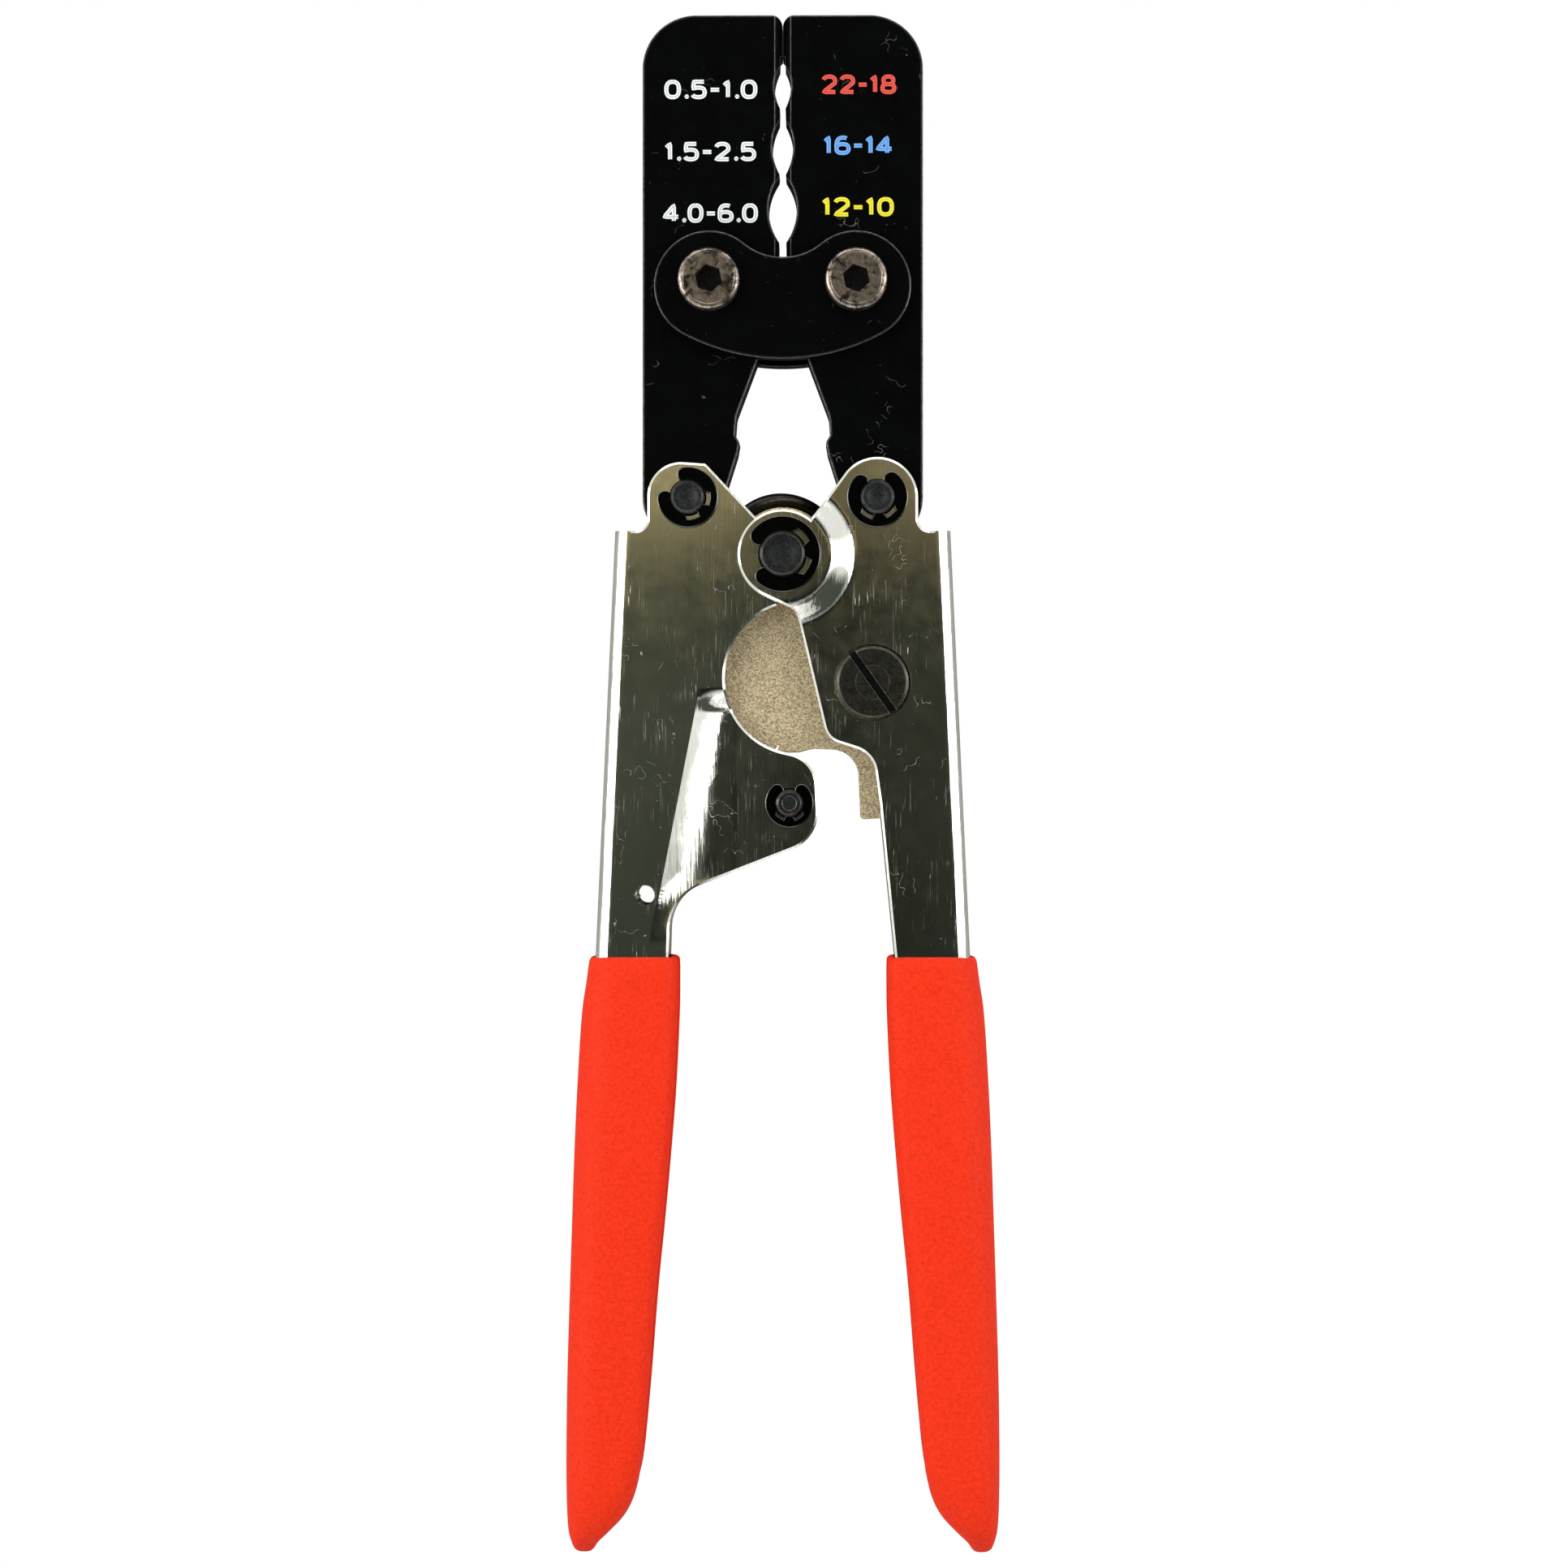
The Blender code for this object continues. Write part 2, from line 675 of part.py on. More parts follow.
def pin(name, place, radius, head_r, seat):
    """A headed pin with a clip's groove, for faces this far from the middle."""
    head = -seat - FACE_GAP
    groove = seat + FACE_GAP
    groove_end = groove + CLIP_THICKNESS + 0.1 * MM
    top = groove_end + PIN_END
    edge = 0.3 * MM
    profile = [
        (0, top),
        (radius - edge, top),
        (radius, top - edge),
        (radius, groove_end),
        (radius - CLIP_BITE, groove_end),
        (radius - CLIP_BITE, groove - 0.1 * MM),
        (radius, groove - 0.1 * MM),
        (radius, head),
        (head_r, head),
        (head_r, head - HEAD_THICKNESS + edge),
        (head_r - edge, head - HEAD_THICKNESS),
        (0, head - HEAD_THICKNESS),
    ]
    return finish(turned(name, profile, place), DARK_PIN)


def clip(name, place, pin_r, outer_r, seat, mouth):
    """An E-shaped clip with two reliefs behind the pin, open towards the mouth's angle."""
    bite_r = pin_r - CLIP_BITE + PIN_FIT
    relief_r = (bite_r + outer_r) / 2
    half_mouth = 44.0
    back = mouth + 180
    tips = 180 - half_mouth
    inner_steps = [
        (tips, tips - 22, bite_r),
        (tips - 22, 62, (bite_r * 3 + relief_r) / 4),
        (50, 20, relief_r),
        (12, -12, bite_r),
        (-20, -50, relief_r),
        (-62, 22 - tips, (bite_r * 3 + relief_r) / 4),
        (22 - tips, -tips, bite_r),
    ]
    outline = arc(place, outer_r, back - tips + 4, back + tips - 4)
    for start, end, radius in inner_steps:
        outline += arc(place, radius, back + start, back + end)
    low = seat + FACE_GAP
    obj = plate(name, [outline], place, low, low + CLIP_THICKNESS)
    return finish(obj, BLACK_CLIP)


# Ratchet


def ratchet_outline():
    pitch = (TEETH_TO - TEETH_FROM) / TEETH
    root = TOOTH_TIP_R - TOOTH_DEPTH
    points = []
    for tooth in range(TEETH):
        start = TEETH_FROM + pitch * tooth
        points += arc(PIVOT, root, start, start + pitch * 0.12, 90)
        points += arc(PIVOT, TOOTH_TIP_R, start + pitch * 0.5, start + pitch * 0.85, 90)
    points += arc(PIVOT, root, TEETH_TO, TEETH_TO - 2, 90)
    corners = plain(points)
    corners += mm([(-22.6, -17.0, 2.0), (-7.2, -3.0, 0)])
    corners += mm([(0.0, 4.0, 0), (6.6, -2.0, 0), (20.9, -13.4, 4.0), (21.4, -27.0, 4.0)])
    corners += mm([(18.6, -34.5, 3.0), (17.4, -43.0, 0.6), (12.8, -43.3, 0.6)])
    corners += mm([(12.3, -31.9, 4.5), (5.0, -31.6, 2.0), (2.6, -32.4, 0)])
    return rounded(corners)


def ratchet_plate():
    """The toothed plate with its hub and the hole for the adjuster's cam."""
    cam = (ADJUSTER_X + CAM_OFFSET, ADJUSTER_Y)
    outlines = [ratchet_outline(), circle(cam, CAM_R + PIN_FIT)]
    obj = plate("ratchet_plate", outlines, PIVOT, -PLATE_FACE, PLATE_FACE)
    hub = prism("ratchet_hub", CIRCLE_SIDES, 2 * PLATE_HUB_R, -HUB_FACE, HUB_FACE, PIVOT)
    combine(obj, hub, "UNION")
    bore_flats = 2 * (PIVOT_R + PIN_FIT)
    bore = prism("ratchet_bore", CIRCLE_SIDES, bore_flats, -REST_LEVEL, REST_LEVEL, PIVOT)
    combine(obj, bore, "DIFFERENCE")
    return finish(obj, SINTERED)


def adjuster_screw():
    """A slotted disc in the flange, a cam in the ratchet plate and a stud for the nut."""
    top = FLANGE_OUT + 0.35 * MM
    shoulder = PLATE_FACE + FACE_GAP
    edge = 0.35 * MM
    low = -FLANGE_OUT - FACE_GAP - NUT_HEIGHT
    profile = [
        (0, top),
        (ADJUSTER_R - edge, top),
        (ADJUSTER_R, top - edge),
        (ADJUSTER_R, shoulder),
        (STUD_R, shoulder),
        (STUD_R, low + edge),
        (STUD_R - edge, low),
        (0, low),
    ]
    obj = turned("adjuster_screw", profile, ADJUSTER)
    cam_place = (ADJUSTER_X + CAM_OFFSET, ADJUSTER_Y)
    cam_top = shoulder + 0.5 * MM
    cam = prism("adjuster_cam", CIRCLE_SIDES, 2 * CAM_R, -shoulder, cam_top, cam_place)
    combine(obj, cam, "UNION")
    slot_size = (3 * ADJUSTER_R, SLOT_WIDTH, 2 * SLOT_DEPTH)
    slot = box("adjuster_slot", slot_size, (*ADJUSTER, top), SLOT_ANGLE)
    combine(obj, slot, "DIFFERENCE")
    return finish(obj, GUNMETAL)


def adjuster_spacer():
    low = -FLANGE_IN + FACE_GAP
    high = -PLATE_FACE - 2 * FACE_GAP
    inner = STUD_R + PIN_FIT
    outer = CAM_R + 1.5 * MM
    profile = [(outer, high), (outer, low), (inner, low), (inner, high)]
    return finish(turned("adjuster_spacer", profile, ADJUSTER, closed=True), GUNMETAL)


def adjuster_nut():
    high = -FLANGE_OUT - FACE_GAP
    obj = prism("adjuster_nut", 6, NUT_FLATS, high - NUT_HEIGHT, high, ADJUSTER)
    bore_flats = 2 * (STUD_R + PIN_FIT)
    bore = prism("nut_bore", CIRCLE_SIDES, bore_flats, -2 * REST_LEVEL, 0, ADJUSTER)
    combine(obj, bore, "DIFFERENCE")
    return finish(obj, GUNMETAL)


def pawl_arm_end():
    angle = radians(PAWL_ARM_ANGLE)
    return (PAWL_X + PAWL_ARM * cos(angle), PAWL_Y + PAWL_ARM * sin(angle))


def pawl():
    """The pawl: a round hub, a nose just under the teeth and an arm for its spring."""
    distance = hypot(*PAWL_PIVOT)
    nose = distance - TOOTH_TIP_R - PAWL_TIP_GAP
    nose_x = 0.5 * MM
    hub_r = 4.4 * MM
    arm = pawl_arm_end()
    up = angle_to(PAWL_PIVOT, PIVOT)
    outline = arc(PAWL_PIVOT, hub_r, up - 100, up - 35)
    outline += arc((PAWL_X + nose_x, PAWL_Y + nose - 1.1 * MM), 1.1 * MM, up - 80, up + 80, 40)
    outline += arc(PAWL_PIVOT, hub_r, up + 30, up + 65)
    outline += arc(arm, 2.2 * MM, PAWL_ARM_ANGLE - 80, PAWL_ARM_ANGLE + 80, 27)
    outline += arc(PAWL_PIVOT, hub_r, PAWL_ARM_ANGLE + 45, up + 255)
    holes = [circle(PAWL_PIVOT, PAWL_PIN_R + PIN_FIT), circle(arm, 1.0 * MM, 12)]
    obj = plate("pawl", [outline, *holes], PAWL_PIVOT, -PAWL_THICKNESS / 2, PAWL_THICKNESS / 2)
    notch_size = (2 * PAWL_ARM, 1.4 * MM, 1.4 * MM)
    towards = radians(angle_to(arm, ANCHOR))
    middle = (arm[0] + PAWL_ARM * cos(towards), arm[1] + PAWL_ARM * sin(towards), 0)
    combine(obj, box("pawl_notch", notch_size, middle, degrees(towards)), "DIFFERENCE")
    return finish(obj, SINTERED)


# Springs


def wire(name, points, radius, finish_material):
    curve = bpy.data.curves.new(name, "CURVE")
    curve.dimensions = "3D"
    curve.bevel_depth = radius
    curve.bevel_resolution = 2
    curve.use_fill_caps = True
    spline = curve.splines.new("POLY")
    spline.points.add(len(points) - 1)
    for point, place in zip(spline.points, points):
        point.co = (*place, 1)
    return finish(mesh_from(add_object(name, curve)), finish_material)


def coil_level(turned_by):
    """The coil starts in front, crosses over the hub's top and stays behind the ratchet plate."""
    top, side = (
        min(1.0, max(0.0, (turned_by - start) / span)) for start, span in (TOP_DROP, SIDE_DROP)
    )
    first = (COIL_LEVEL - COIL_MIDDLE) * (1 - cos(pi * top)) / 2
    second = (COIL_MIDDLE + COIL_LEVEL) * (1 - cos(pi * side)) / 2
    return COIL_LEVEL - first - second


def opening_spring():
    """One wire: left leg in front, a turn and a third round the hub, right leg behind."""
    start = 180 - LEG_ANGLE
    total = 360 + start - LEG_ANGLE
    leg = Vector((-sin(radians(LEG_ANGLE)), -cos(radians(LEG_ANGLE)), 0)) * LEG_LENGTH
    coil = []
    steps = ceil(total / COIL_STEP)
    for i in range(steps + 1):
        turned_by = total * i / steps
        angle = radians(start - turned_by)
        coil.append(Vector((COIL_R * cos(angle), COIL_R * sin(angle), coil_level(turned_by))))
    right_leg = Vector((-leg.x, leg.y, 0))
    points = [coil[0] + leg, coil[0] + leg * 0.5, *coil]
    points += [coil[-1] + right_leg * 0.5, coil[-1] + right_leg]
    return wire("opening_spring", points, COIL_WIRE_R, BLACK_OXIDE)


def pawl_spring():
    """A plain envelope of the coils with a thin hook at each end."""
    arm = Vector((*pawl_arm_end(), 0))
    anchor = Vector((*ANCHOR, 0))
    along = (anchor - arm).normalized()
    hook = 3.2 * MM
    inset = along * (ANCHOR_R - PAWL_SPRING_WIRE_R - SLEEVE_GAP)
    coil_start = arm + along * (hook + 1.0 * MM)
    coil_end = anchor - along * hook
    front = Vector((0, 0, FLANGE_OUT))
    near_hook = wire(
        "pawl_spring",
        [
            arm,
            coil_start,
            coil_end,
            anchor + inset,
            anchor + inset + front,
        ],
        PAWL_SPRING_WIRE_R,
        SPRING_STEEL,
    )
    length = (coil_end - coil_start).length
    shape = bmesh.new()
    bmesh.ops.create_cone(
        shape,
        cap_ends=True,
        segments=14,
        radius1=PAWL_SPRING_R,
        radius2=PAWL_SPRING_R,
        depth=length - 1.0 * MM,
    )
    turn = along.to_track_quat("Z", "Y").to_matrix().to_4x4()
    shape.transform(Matrix.Translation((coil_start + coil_end) / 2) @ turn)
    data = bpy.data.meshes.new("pawl_spring_coils")
    shape.to_mesh(data)
    shape.free()
    combine(near_hook, add_object("pawl_spring_coils", data), "UNION")
    return near_hook


# Grips


def grip_ring(shape, y, inner, outer, half, side):
    """One cross-section of a grip, a squarish oval."""
    ring = bmesh.ops.create_circle(shape, segments=GRIP_SIDES, radius=1)["verts"]
    power = 2 / GRIP_SQUARENESS
    for vert in ring:
        across, level = vert.co.x, vert.co.y
        x = abs(across) ** power * (1 if across > 0 else -1)
        z = abs(level) ** power * (1 if level > 0 else -1)
        middle = (inner + outer) / 2
        vert.co = (side * (middle + x * (outer - inner) / 2), y, z * half)
    return ring


def pocket(name, side):
    """The channel's tang with a gap all round, and open at the grip's top."""
    mouth = GRIP_TOP + 5 * MM
    foot = TANG_END - SLEEVE_GAP
    tang = tang_inner()
    slope = (tang[0] - 18.4 * MM) / (GRIP_TOP - TANG_END)
    outer_mouth = channel_edge(mouth) + BEND_R + SLEEVE_GAP
    outer_foot = channel_edge(foot) + BEND_R + SLEEVE_GAP
    inner_mouth = 18.1 * MM - slope * (mouth - GRIP_TOP) - SLEEVE_GAP
    inner_foot = tang[0] - SLEEVE_GAP
    corners = [(outer_mouth, mouth), (inner_mouth, mouth), (inner_foot, foot), (outer_foot, foot)]
    if side < 0:
        corners = mirrored(corners)
    half = FLANGE_OUT + SLEEVE_GAP
    obj = plate(name, [corners], PIVOT, -half, half)
    shape = bmesh.new()
    shape.from_mesh(obj.data)
    bmesh.ops.dissolve_limit(
        shape, angle_limit=radians(1), verts=shape.verts, edges=shape.edges
    )
    outside = [
        edge
        for edge in shape.edges
        if abs(edge.verts[0].co.z - edge.verts[1].co.z) < 1e-6
        and all(abs(v.co.x) > channel_edge(mouth) for v in edge.verts)
        and edge.calc_face_angle() > radians(60)
        and edge.calc_length() > 20 * MM
    ]
    bmesh.ops.bevel(
        shape, geom=outside, offset=BEND_R, affect="EDGES", segments=3, profile=0.5, material=-1
    )
    shape.to_mesh(obj.data)
    shape.free()
    return obj


def grip(name, side):
    shape = bmesh.new()
    before = None
    rings = []
    for y, inner, outer, share in GRIP_STATIONS:
        rings.append(
            grip_ring(shape, y * MM, inner * MM, outer * MM, share * GRIP_HALF, side)
        )
    for ring in rings:
        edges = {edge for vert in ring for edge in vert.link_edges if edge.other_vert(vert) in ring}
        if before:
            bmesh.ops.bridge_loops(shape, edges=[*before, *edges])
        before = edges
    bmesh.ops.holes_fill(shape, edges=shape.edges)
    bmesh.ops.recalc_face_normals(shape, faces=shape.faces)
    data = bpy.data.meshes.new(name)
    shape.to_mesh(data)
    shape.free()
    obj = add_object(name, data)
    combine(obj, pocket(name + "_pocket", side), "DIFFERENCE")
    return finish(obj, VINYL)


def build():
    jaw("left_jaw", -1)
    jaw("right_jaw", 1)
    link_plate("front_link_plate", FLANGE_IN, LINK_OUT, LINK_OUT)
    link_plate("rear_link_plate", -LINK_OUT, -FLANGE_IN, -LINK_OUT)
    link_screw("left_link_screw", LEFT_LINK)
    link_screw("right_link_screw", RIGHT_LINK)
    left_handle()
    right_handle()
    grip("left_grip", -1)
    grip("right_grip", 1)
    pin("pivot_pin", PIVOT, PIVOT_R, 5.6 * MM, BOSS_OUT)
    pin("left_ear_pin", LEFT_EAR, EAR_PIN_R, 4.3 * MM, FLANGE_OUT)
    pin("right_ear_pin", RIGHT_EAR, EAR_PIN_R, 4.3 * MM, FLANGE_OUT)
    pin("pawl_pin", PAWL_PIVOT, PAWL_PIN_R, 3.4 * MM, LOBE_OUT)
    clip("pivot_clip", PIVOT, PIVOT_R, 6.2 * MM, BOSS_OUT, 187)
    clip("left_ear_clip", LEFT_EAR, EAR_PIN_R, 4.95 * MM, FLANGE_OUT, 140)
    clip("right_ear_clip", RIGHT_EAR, EAR_PIN_R, 4.95 * MM, FLANGE_OUT, 95)
    clip("pawl_clip", PAWL_PIVOT, PAWL_PIN_R, 3.95 * MM, LOBE_OUT, 90)
    ratchet_plate()
    adjuster_screw()
    adjuster_spacer()
    adjuster_nut()
    pawl()
    pawl_spring()
    opening_spring()


clear_scene()
PARTS = collection("crimping_tool")
CUTTERS = collection("cutters", hidden=True)
FRAME = bpy.data.objects.new("tool_frame", None)
PARTS.objects.link(FRAME)
FRAME.location = (0, -(JAW_TOP + GRIP_STATIONS[-1][0] * MM) / 2, REST_LEVEL)

BLACK_OXIDE = material("black_oxide", (0.012, 0.012, 0.011), 0.85, 0.42)
CHROME = material("chrome_sheet", (0.78, 0.78, 0.74), 1.0, 0.16)
NICKEL = material("socket_screw", (0.32, 0.3, 0.28), 1.0, 0.35)
DARK_PIN = material("dark_pin", (0.09, 0.09, 0.095), 1.0, 0.32)
BLACK_CLIP = material("black_clip", (0.02, 0.022, 0.022), 0.9, 0.22)
SINTERED = material("sintered_steel", (0.48, 0.42, 0.32), 0.9, 0.55)
GUNMETAL = material("gunmetal", (0.08, 0.08, 0.075), 1.0, 0.3)
SPRING_STEEL = material("spring_steel", (0.55, 0.55, 0.53), 1.0, 0.28)
VINYL = material("dipped_vinyl", (0.93, 0.045, 0.013), 0.0, 0.45)

build()
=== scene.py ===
"""Looks of a ratchet crimping tool: plated handles, dipped grips, black jaws, pins and springs.

Sizes are in metres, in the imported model's own frame: +X right, +Y towards the jaw tips, +Z up.
"""

import json
from math import atan, atan2, ceil, cos, degrees, hypot, pi, radians, sin, tan

import bmesh
import bpy
from bpy.props import FloatProperty, FloatVectorProperty, IntProperty, PointerProperty
from mathutils import Matrix, Vector


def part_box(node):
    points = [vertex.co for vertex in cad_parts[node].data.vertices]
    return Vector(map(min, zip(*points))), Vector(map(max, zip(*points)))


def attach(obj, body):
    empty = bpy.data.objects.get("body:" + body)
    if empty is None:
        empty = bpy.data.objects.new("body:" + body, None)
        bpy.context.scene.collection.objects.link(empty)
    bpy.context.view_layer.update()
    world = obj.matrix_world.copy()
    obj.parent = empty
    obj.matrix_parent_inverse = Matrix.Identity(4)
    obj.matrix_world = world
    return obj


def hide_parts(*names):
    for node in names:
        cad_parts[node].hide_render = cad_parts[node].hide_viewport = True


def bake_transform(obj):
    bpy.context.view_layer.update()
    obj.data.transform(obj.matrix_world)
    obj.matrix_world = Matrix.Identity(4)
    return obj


bl_info = {
    "name": "Ratchet crimping tool",
    "version": (1, 0, 0),
    "blender": (4, 5, 0),
    "location": "View3D > Sidebar > Crimper",
    "description": "Adds the finish and fine pieces of a ratchet crimping tool",
    "category": "Add Mesh",
}

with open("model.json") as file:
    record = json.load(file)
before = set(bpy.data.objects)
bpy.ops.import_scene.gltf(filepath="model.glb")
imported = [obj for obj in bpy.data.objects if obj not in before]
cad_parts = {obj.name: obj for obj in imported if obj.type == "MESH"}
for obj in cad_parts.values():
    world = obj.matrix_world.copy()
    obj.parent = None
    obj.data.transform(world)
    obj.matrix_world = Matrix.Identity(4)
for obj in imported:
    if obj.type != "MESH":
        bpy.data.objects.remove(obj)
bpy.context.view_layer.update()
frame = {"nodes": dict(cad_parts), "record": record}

MM = 0.001
JOINTS = {joint["name"]: Vector(joint["pos_m"]) for joint in frame["record"]["behaviour"]["joints"]}
PIVOT = JOINTS["handle_hinge"]
RIGHT_EAR = JOINTS["right_jaw_hinge"]
LEFT_EAR = JOINTS["left_jaw_hinge"]
RIGHT_LINK = JOINTS["link_hinge"]
LEFT_LINK = Vector((-RIGHT_LINK.x, RIGHT_LINK.y, RIGHT_LINK.z))
PAWL_PIVOT = JOINTS["pawl_hinge"]
MID = PIVOT.z
FLANGE_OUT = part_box("left_handle")[1].z - MID
BOSS_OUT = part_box("right_handle")[1].z - MID
JAW_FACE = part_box("left_jaw")[1].z - MID
JAW_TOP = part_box("left_jaw")[1].y - PIVOT.y
LINK_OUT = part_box("front_link_plate")[1].z - MID
HUB_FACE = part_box("ratchet_plate")[1].z - MID
LOBE_STEP = 2.2 * MM
RIM_WIDE = 0.36 * MM
RIM_DEEP = 0.2 * MM
SHEET = 1.8 * MM
FACE_GAP = 0.25 * MM
PIN_FIT = 0.15 * MM
EAR_PIN_R = 2.75 * MM
LINK_SHANK_R = 3.85 * MM
RATCHET_FACE = 1.95 * MM
BEND_R = 2.4 * MM
CHANNEL_TOP = 3.9 * MM
TANG_FOOT = -140 * MM
PIVOT_BORE_R = 3.8 * MM
CLIP_THICK = 0.9 * MM
ADJUSTER = (14.7 * MM, -20.8 * MM)
SPRING_ANCHOR = (-22.5 * MM, -55.6 * MM)

# Edges over these angles stay sharp, in degrees
SHARP_EDGE = 20
SHARP_CUT = 32
SHARP_FOLD = 12


# Outlines, in the plane of the tool and measured from the handles' pivot


def arc(centre, radius, start, end, step=4.0):
    """Points on a circle from one angle to another, in degrees."""
    count = max(1, ceil(abs(end - start) / step))
    angles = (radians(start + (end - start) * i / count) for i in range(count + 1))
    return [(centre[0] + radius * cos(a), centre[1] + radius * sin(a)) for a in angles]


def circle(centre, radius, sides=64):
    return arc(centre, radius, 0, 360, 360 / sides)[:-1]


def rounded(corners, step=4.0):
    """A closed outline from (x, y, corner radius), where a zero radius keeps the corner."""
    points = []
    for i, (x, y, radius) in enumerate(corners):
        if radius == 0:
            points.append((x, y))
            continue
        here = Vector((x, y))
        back = (Vector(corners[i - 1][:2]) - here).normalized()
        ahead = (Vector(corners[(i + 1) % len(corners)][:2]) - here).normalized()
        half = back.angle(ahead) / 2
        centre = here + (back + ahead).normalized() * (radius / sin(half))
        start = here + back * (radius / tan(half)) - centre
        end = here + ahead * (radius / tan(half)) - centre
        first = degrees(atan2(start.y, start.x))
        turn = (degrees(atan2(end.y, end.x)) - first + 180) % 360 - 180
        points += arc(centre, radius, first, first + turn, step)
    return points


def plain(points):
    return [(x, y, 0.0) for x, y in points]


def mm(corners):
    """Corners given in millimetres, in metres."""
    return [tuple(v * MM for v in corner) for corner in corners]


def angle_to(start, end):
    return degrees(atan2(end[1] - start[1], end[0] - start[0]))


def from_pivot(point):
    return (point.x - PIVOT.x, point.y - PIVOT.y)


# Mesh helpers


def linked(name, data):
    """An object in the scene that holds this data."""
    obj = bpy.data.objects.new(name, data)
    bpy.context.scene.collection.objects.link(obj)
    return obj


def add_piece(name, shape, finish_material, body=None, place=True):
    """Closes a bmesh into an object with one material, moved from the pivot to its place."""
    if place:
        shape.transform(Matrix.Translation(PIVOT))
    data = bpy.data.meshes.new(name)
    shape.to_mesh(data)
    shape.free()
    data.materials.append(finish_material)
    data.shade_smooth()
    data.set_sharp_from_angle(angle=radians(SHARP_EDGE))
    obj = linked(name, data)
    if body:
        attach(obj, body)
    return obj


def stands_for(obj, node):
    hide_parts(node)
    return obj


def outline_mesh(outlines, level):
    """A flat face inside the first outline, with the others as holes."""
    shape = bmesh.new()
    for outline in outlines:
        verts = [shape.verts.new((x, y, level)) for x, y in outline]
        for i, vert in enumerate(verts):
            shape.edges.new((vert, verts[i - 1]))
    bmesh.ops.triangle_fill(shape, edges=shape.edges, use_beauty=True, normal=(0, 0, 1))
    return shape


def raise_faces(shape, height):
    """Turns flat faces into a closed solid of this height."""
    made = bmesh.ops.extrude_face_region(shape, geom=shape.faces)
    verts = [item for item in made["geom"] if isinstance(item, bmesh.types.BMVert)]
    bmesh.ops.translate(shape, vec=(0, 0, height), verts=verts)


def flat_plate(outlines, low, high, edge=0.0, segments=2):
    """A flat piece with eased rims."""
    shape = outline_mesh(outlines, low)
    bmesh.ops.recalc_face_normals(shape, faces=shape.faces)
    raise_faces(shape, high - low)
    bmesh.ops.remove_doubles(shape, verts=shape.verts, dist=1e-7)
    bmesh.ops.recalc_face_normals(shape, faces=shape.faces)
    if edge:
        rims = [
            e
            for e in shape.edges
            if e.calc_face_angle(0) > radians(60)
            and any(all(abs(v.co.z - z) < 1e-7 for v in e.verts) for z in (low, high))
        ]
        bmesh.ops.bevel(
            shape,
            geom=rims,
            offset=edge,
            affect="EDGES",
            segments=segments,
            profile=0.5,
            material=-1,
        )
    return shape


def inset(points, distance):
    """An outline moved towards its left by a distance."""
    moved = []
    for i, here in enumerate(points):
        back = (Vector(here) - Vector(points[i - 1])).normalized()
        ahead = (Vector(points[(i + 1) % len(points)]) - Vector(here)).normalized()
        left = Vector((-back.y - ahead.y, back.x + ahead.x)).normalized()
        stretch = max(0.6, left.dot(Vector((-back.y, back.x))))
        moved.append(Vector(here) + left * distance / stretch)
    return moved


def rimmed_sheet(outlines, level, on_bend):
    """A flat face inside the first outline, whose rims slope down apart from its bend's line."""
    cleaned = []
    for outline in outlines:
        points = [
            p for i, p in enumerate(outline) if (Vector(p) - Vector(outline[i - 1])).length > 1e-6
        ]
        area = sum(a[0] * b[1] - b[0] * a[1] for a, b in zip(points, points[1:] + points[:1]))
        cleaned.append(points if area > 0 else points[::-1])
    inner = [inset(cleaned[0], RIM_WIDE)] + [inset(hole, -RIM_WIDE * 0.45) for hole in cleaned[1:]]
    shape = outline_mesh(inner, level)
    shape.verts.ensure_lookup_table()
    first = 0
    for points in cleaned:
        count = len(points)
        rim = [
            shape.verts.new((x, y, level if on_bend((x, y)) else level - RIM_DEEP))
            for x, y in points
        ]
        shape.verts.ensure_lookup_table()
        for i in range(count):
            j = (i + 1) % count
            shape.faces.new((rim[i], rim[j], shape.verts[first + j], shape.verts[first + i]))
        first += count
    bmesh.ops.recalc_face_normals(shape, faces=shape.faces)
    return shape


def turned_shape(profile, centre, steps=96):
    """A turned shape from (radius, level) about an upright axis."""
    shape = bmesh.new()
    verts = [shape.verts.new((centre[0] + r, centre[1], z)) for r, z in profile]
    edges = [shape.edges.new(pair) for pair in zip(verts, verts[1:])]
    bmesh.ops.spin(
        shape,
        geom=[*verts, *edges],
        cent=(*centre, 0),
        axis=(0, 0, 1),
        angle=2 * pi,
        steps=steps,
        use_merge=True,
    )
    bmesh.ops.remove_doubles(shape, verts=shape.verts, dist=1e-7)
    bmesh.ops.recalc_face_normals(shape, faces=shape.faces)
    return shape


def cut_with(obj, cutter, sharp=SHARP_CUT):
    """Cuts a shape out of a piece and keeps only the result."""
    boolean = obj.modifiers.new("cut", "BOOLEAN")
    boolean.object = cutter
    boolean.operation = "DIFFERENCE"
    boolean.solver = "EXACT"
    settle(obj, sharp)
    bpy.data.objects.remove(cutter)


def darken_inside(obj, mouth, radius, below):
    """Paints shade into a recess: faces deeper than a depth below its mouth get the near-black
    recess colour, standing in for the shadow there.
    """
    obj.data.materials.append(finish_of("recess"))
    for face in obj.data.polygons:
        if (face.center - mouth).xy.length < radius and face.center.z < mouth.z - below:
            face.material_index = 1


def settle(obj, sharp=SHARP_CUT):
    """Bakes a piece's modifiers into its mesh. Edges over this angle become sharp."""
    bpy.context.view_layer.update()
    graph = bpy.context.evaluated_depsgraph_get()
    data = bpy.data.meshes.new_from_object(obj.evaluated_get(graph))
    if sharp:
        data.shade_smooth()
        data.set_sharp_from_angle(angle=radians(sharp))
    obj.modifiers.clear()
    obj.data = data


